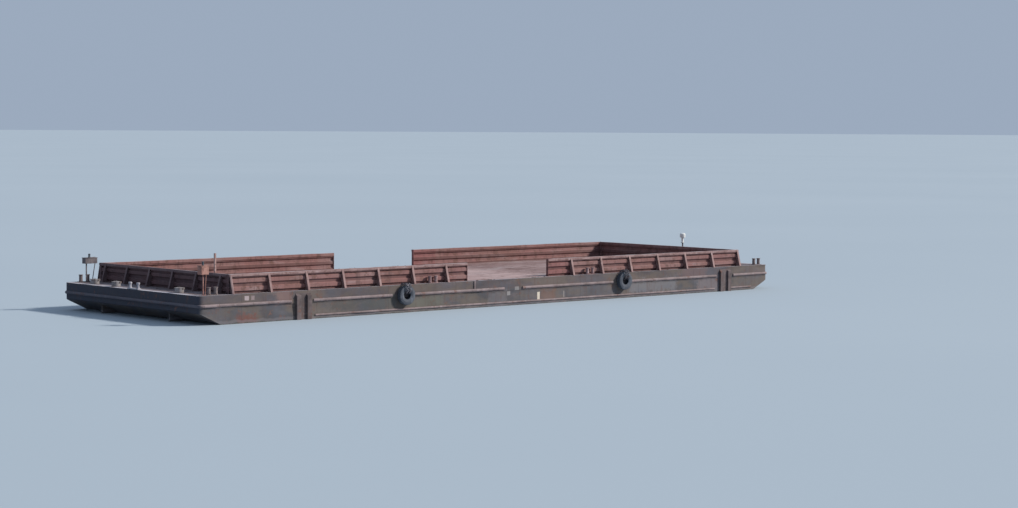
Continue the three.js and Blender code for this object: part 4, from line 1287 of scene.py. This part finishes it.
fittings = []
for side, forward in FORWARD.items():
    along_edge = [moved(ring_plate_shape(), forward * x, 230) for x in SIDE_RINGS]
    for x in SIDE_MANHOLES:
        along_edge.append(moved(manhole_shape(), forward * x, 215))
        along_edge.append(moved(sounding_cap_shape(), forward * (x + 420), 170))
    fittings.append(at_edge(join(*along_edge), side))
for end in ("stern", "bow"):
    fittings.append(at_edge(join(*[moved(ring_plate_shape(), y, 1900) for y in END_RINGS]), end))
piece("deck_fittings", join(*fittings), MOORING)


# Camera at the photograph's place, a low sun from the starboard bow, a pale sky and a pale floor

CAMERA_AT = Vector((-58.133, -68.138, 7.676))
YAW, PITCH, ROLL = math.radians(42.2163), math.radians(-3.2373), math.radians(0.3115)
FOCAL_PIXELS, FRAME_WIDTH = 2186.737, 1018
SENSOR_WIDTH = 36
SUN_DIRECTION = Vector((-0.66, 0.52, -0.54))
FLOOR_HALF = 6000

camera = placed("camera", bpy.data.cameras.new("camera"))
ahead = Vector((math.sin(YAW) * math.cos(PITCH), math.cos(YAW) * math.cos(PITCH), math.sin(PITCH)))
level = ahead.cross(Vector((0, 0, 1))).normalized()
upright = level.cross(ahead)
right = level * math.cos(ROLL) + upright * math.sin(ROLL)
up = upright * math.cos(ROLL) - level * math.sin(ROLL)
camera.matrix_world = Matrix.Translation(CAMERA_AT) @ Matrix((right, up, -ahead)).transposed().to_4x4()
camera.data.sensor_width = SENSOR_WIDTH
camera.data.lens = FOCAL_PIXELS / FRAME_WIDTH * SENSOR_WIDTH
camera.data.clip_start = 0.5
camera.data.clip_end = 20000
bpy.context.scene.camera = camera

sun = placed("sun", bpy.data.lights.new("sun", "SUN"))
sun.data.energy = 4.6
sun.data.angle = math.radians(7)
sun.data.color = (1.0, 0.94, 0.86)
sun.rotation_euler = SUN_DIRECTION.to_track_quat("-Z", "Y").to_euler()

world = bpy.data.worlds.new("sky")
bpy.context.scene.world = world
world.use_nodes = True
sky = world.node_tree.nodes["Background"]
sky.inputs["Color"].default_value = linear(0xC4D6EE)
sky.inputs["Strength"].default_value = 0.6

floor_paint = Finish("floor_paint")
floor_colour = floor_paint.mix(floor_paint.noise(0.02, 4, 0.5), 0x9AA8B4, 0xA3B0BB)
floor_paint.feed(floor_paint.shader.inputs["Base Color"], floor_colour)
floor_paint.shader.inputs["Roughness"].default_value = 0.8
floor_mesh = bpy.data.meshes.new("floor")
corners = [(x * FLOOR_HALF, y * FLOOR_HALF, WATERLINE) for x, y in ((-1, -1), (1, -1), (1, 1), (-1, 1))]
floor_mesh.from_pydata(corners, [], [(0, 1, 2, 3)])
floor_mesh.materials.append(floor_paint.material)
floor = placed("floor", floor_mesh)

bpy.context.scene.view_settings.view_transform = "Standard"
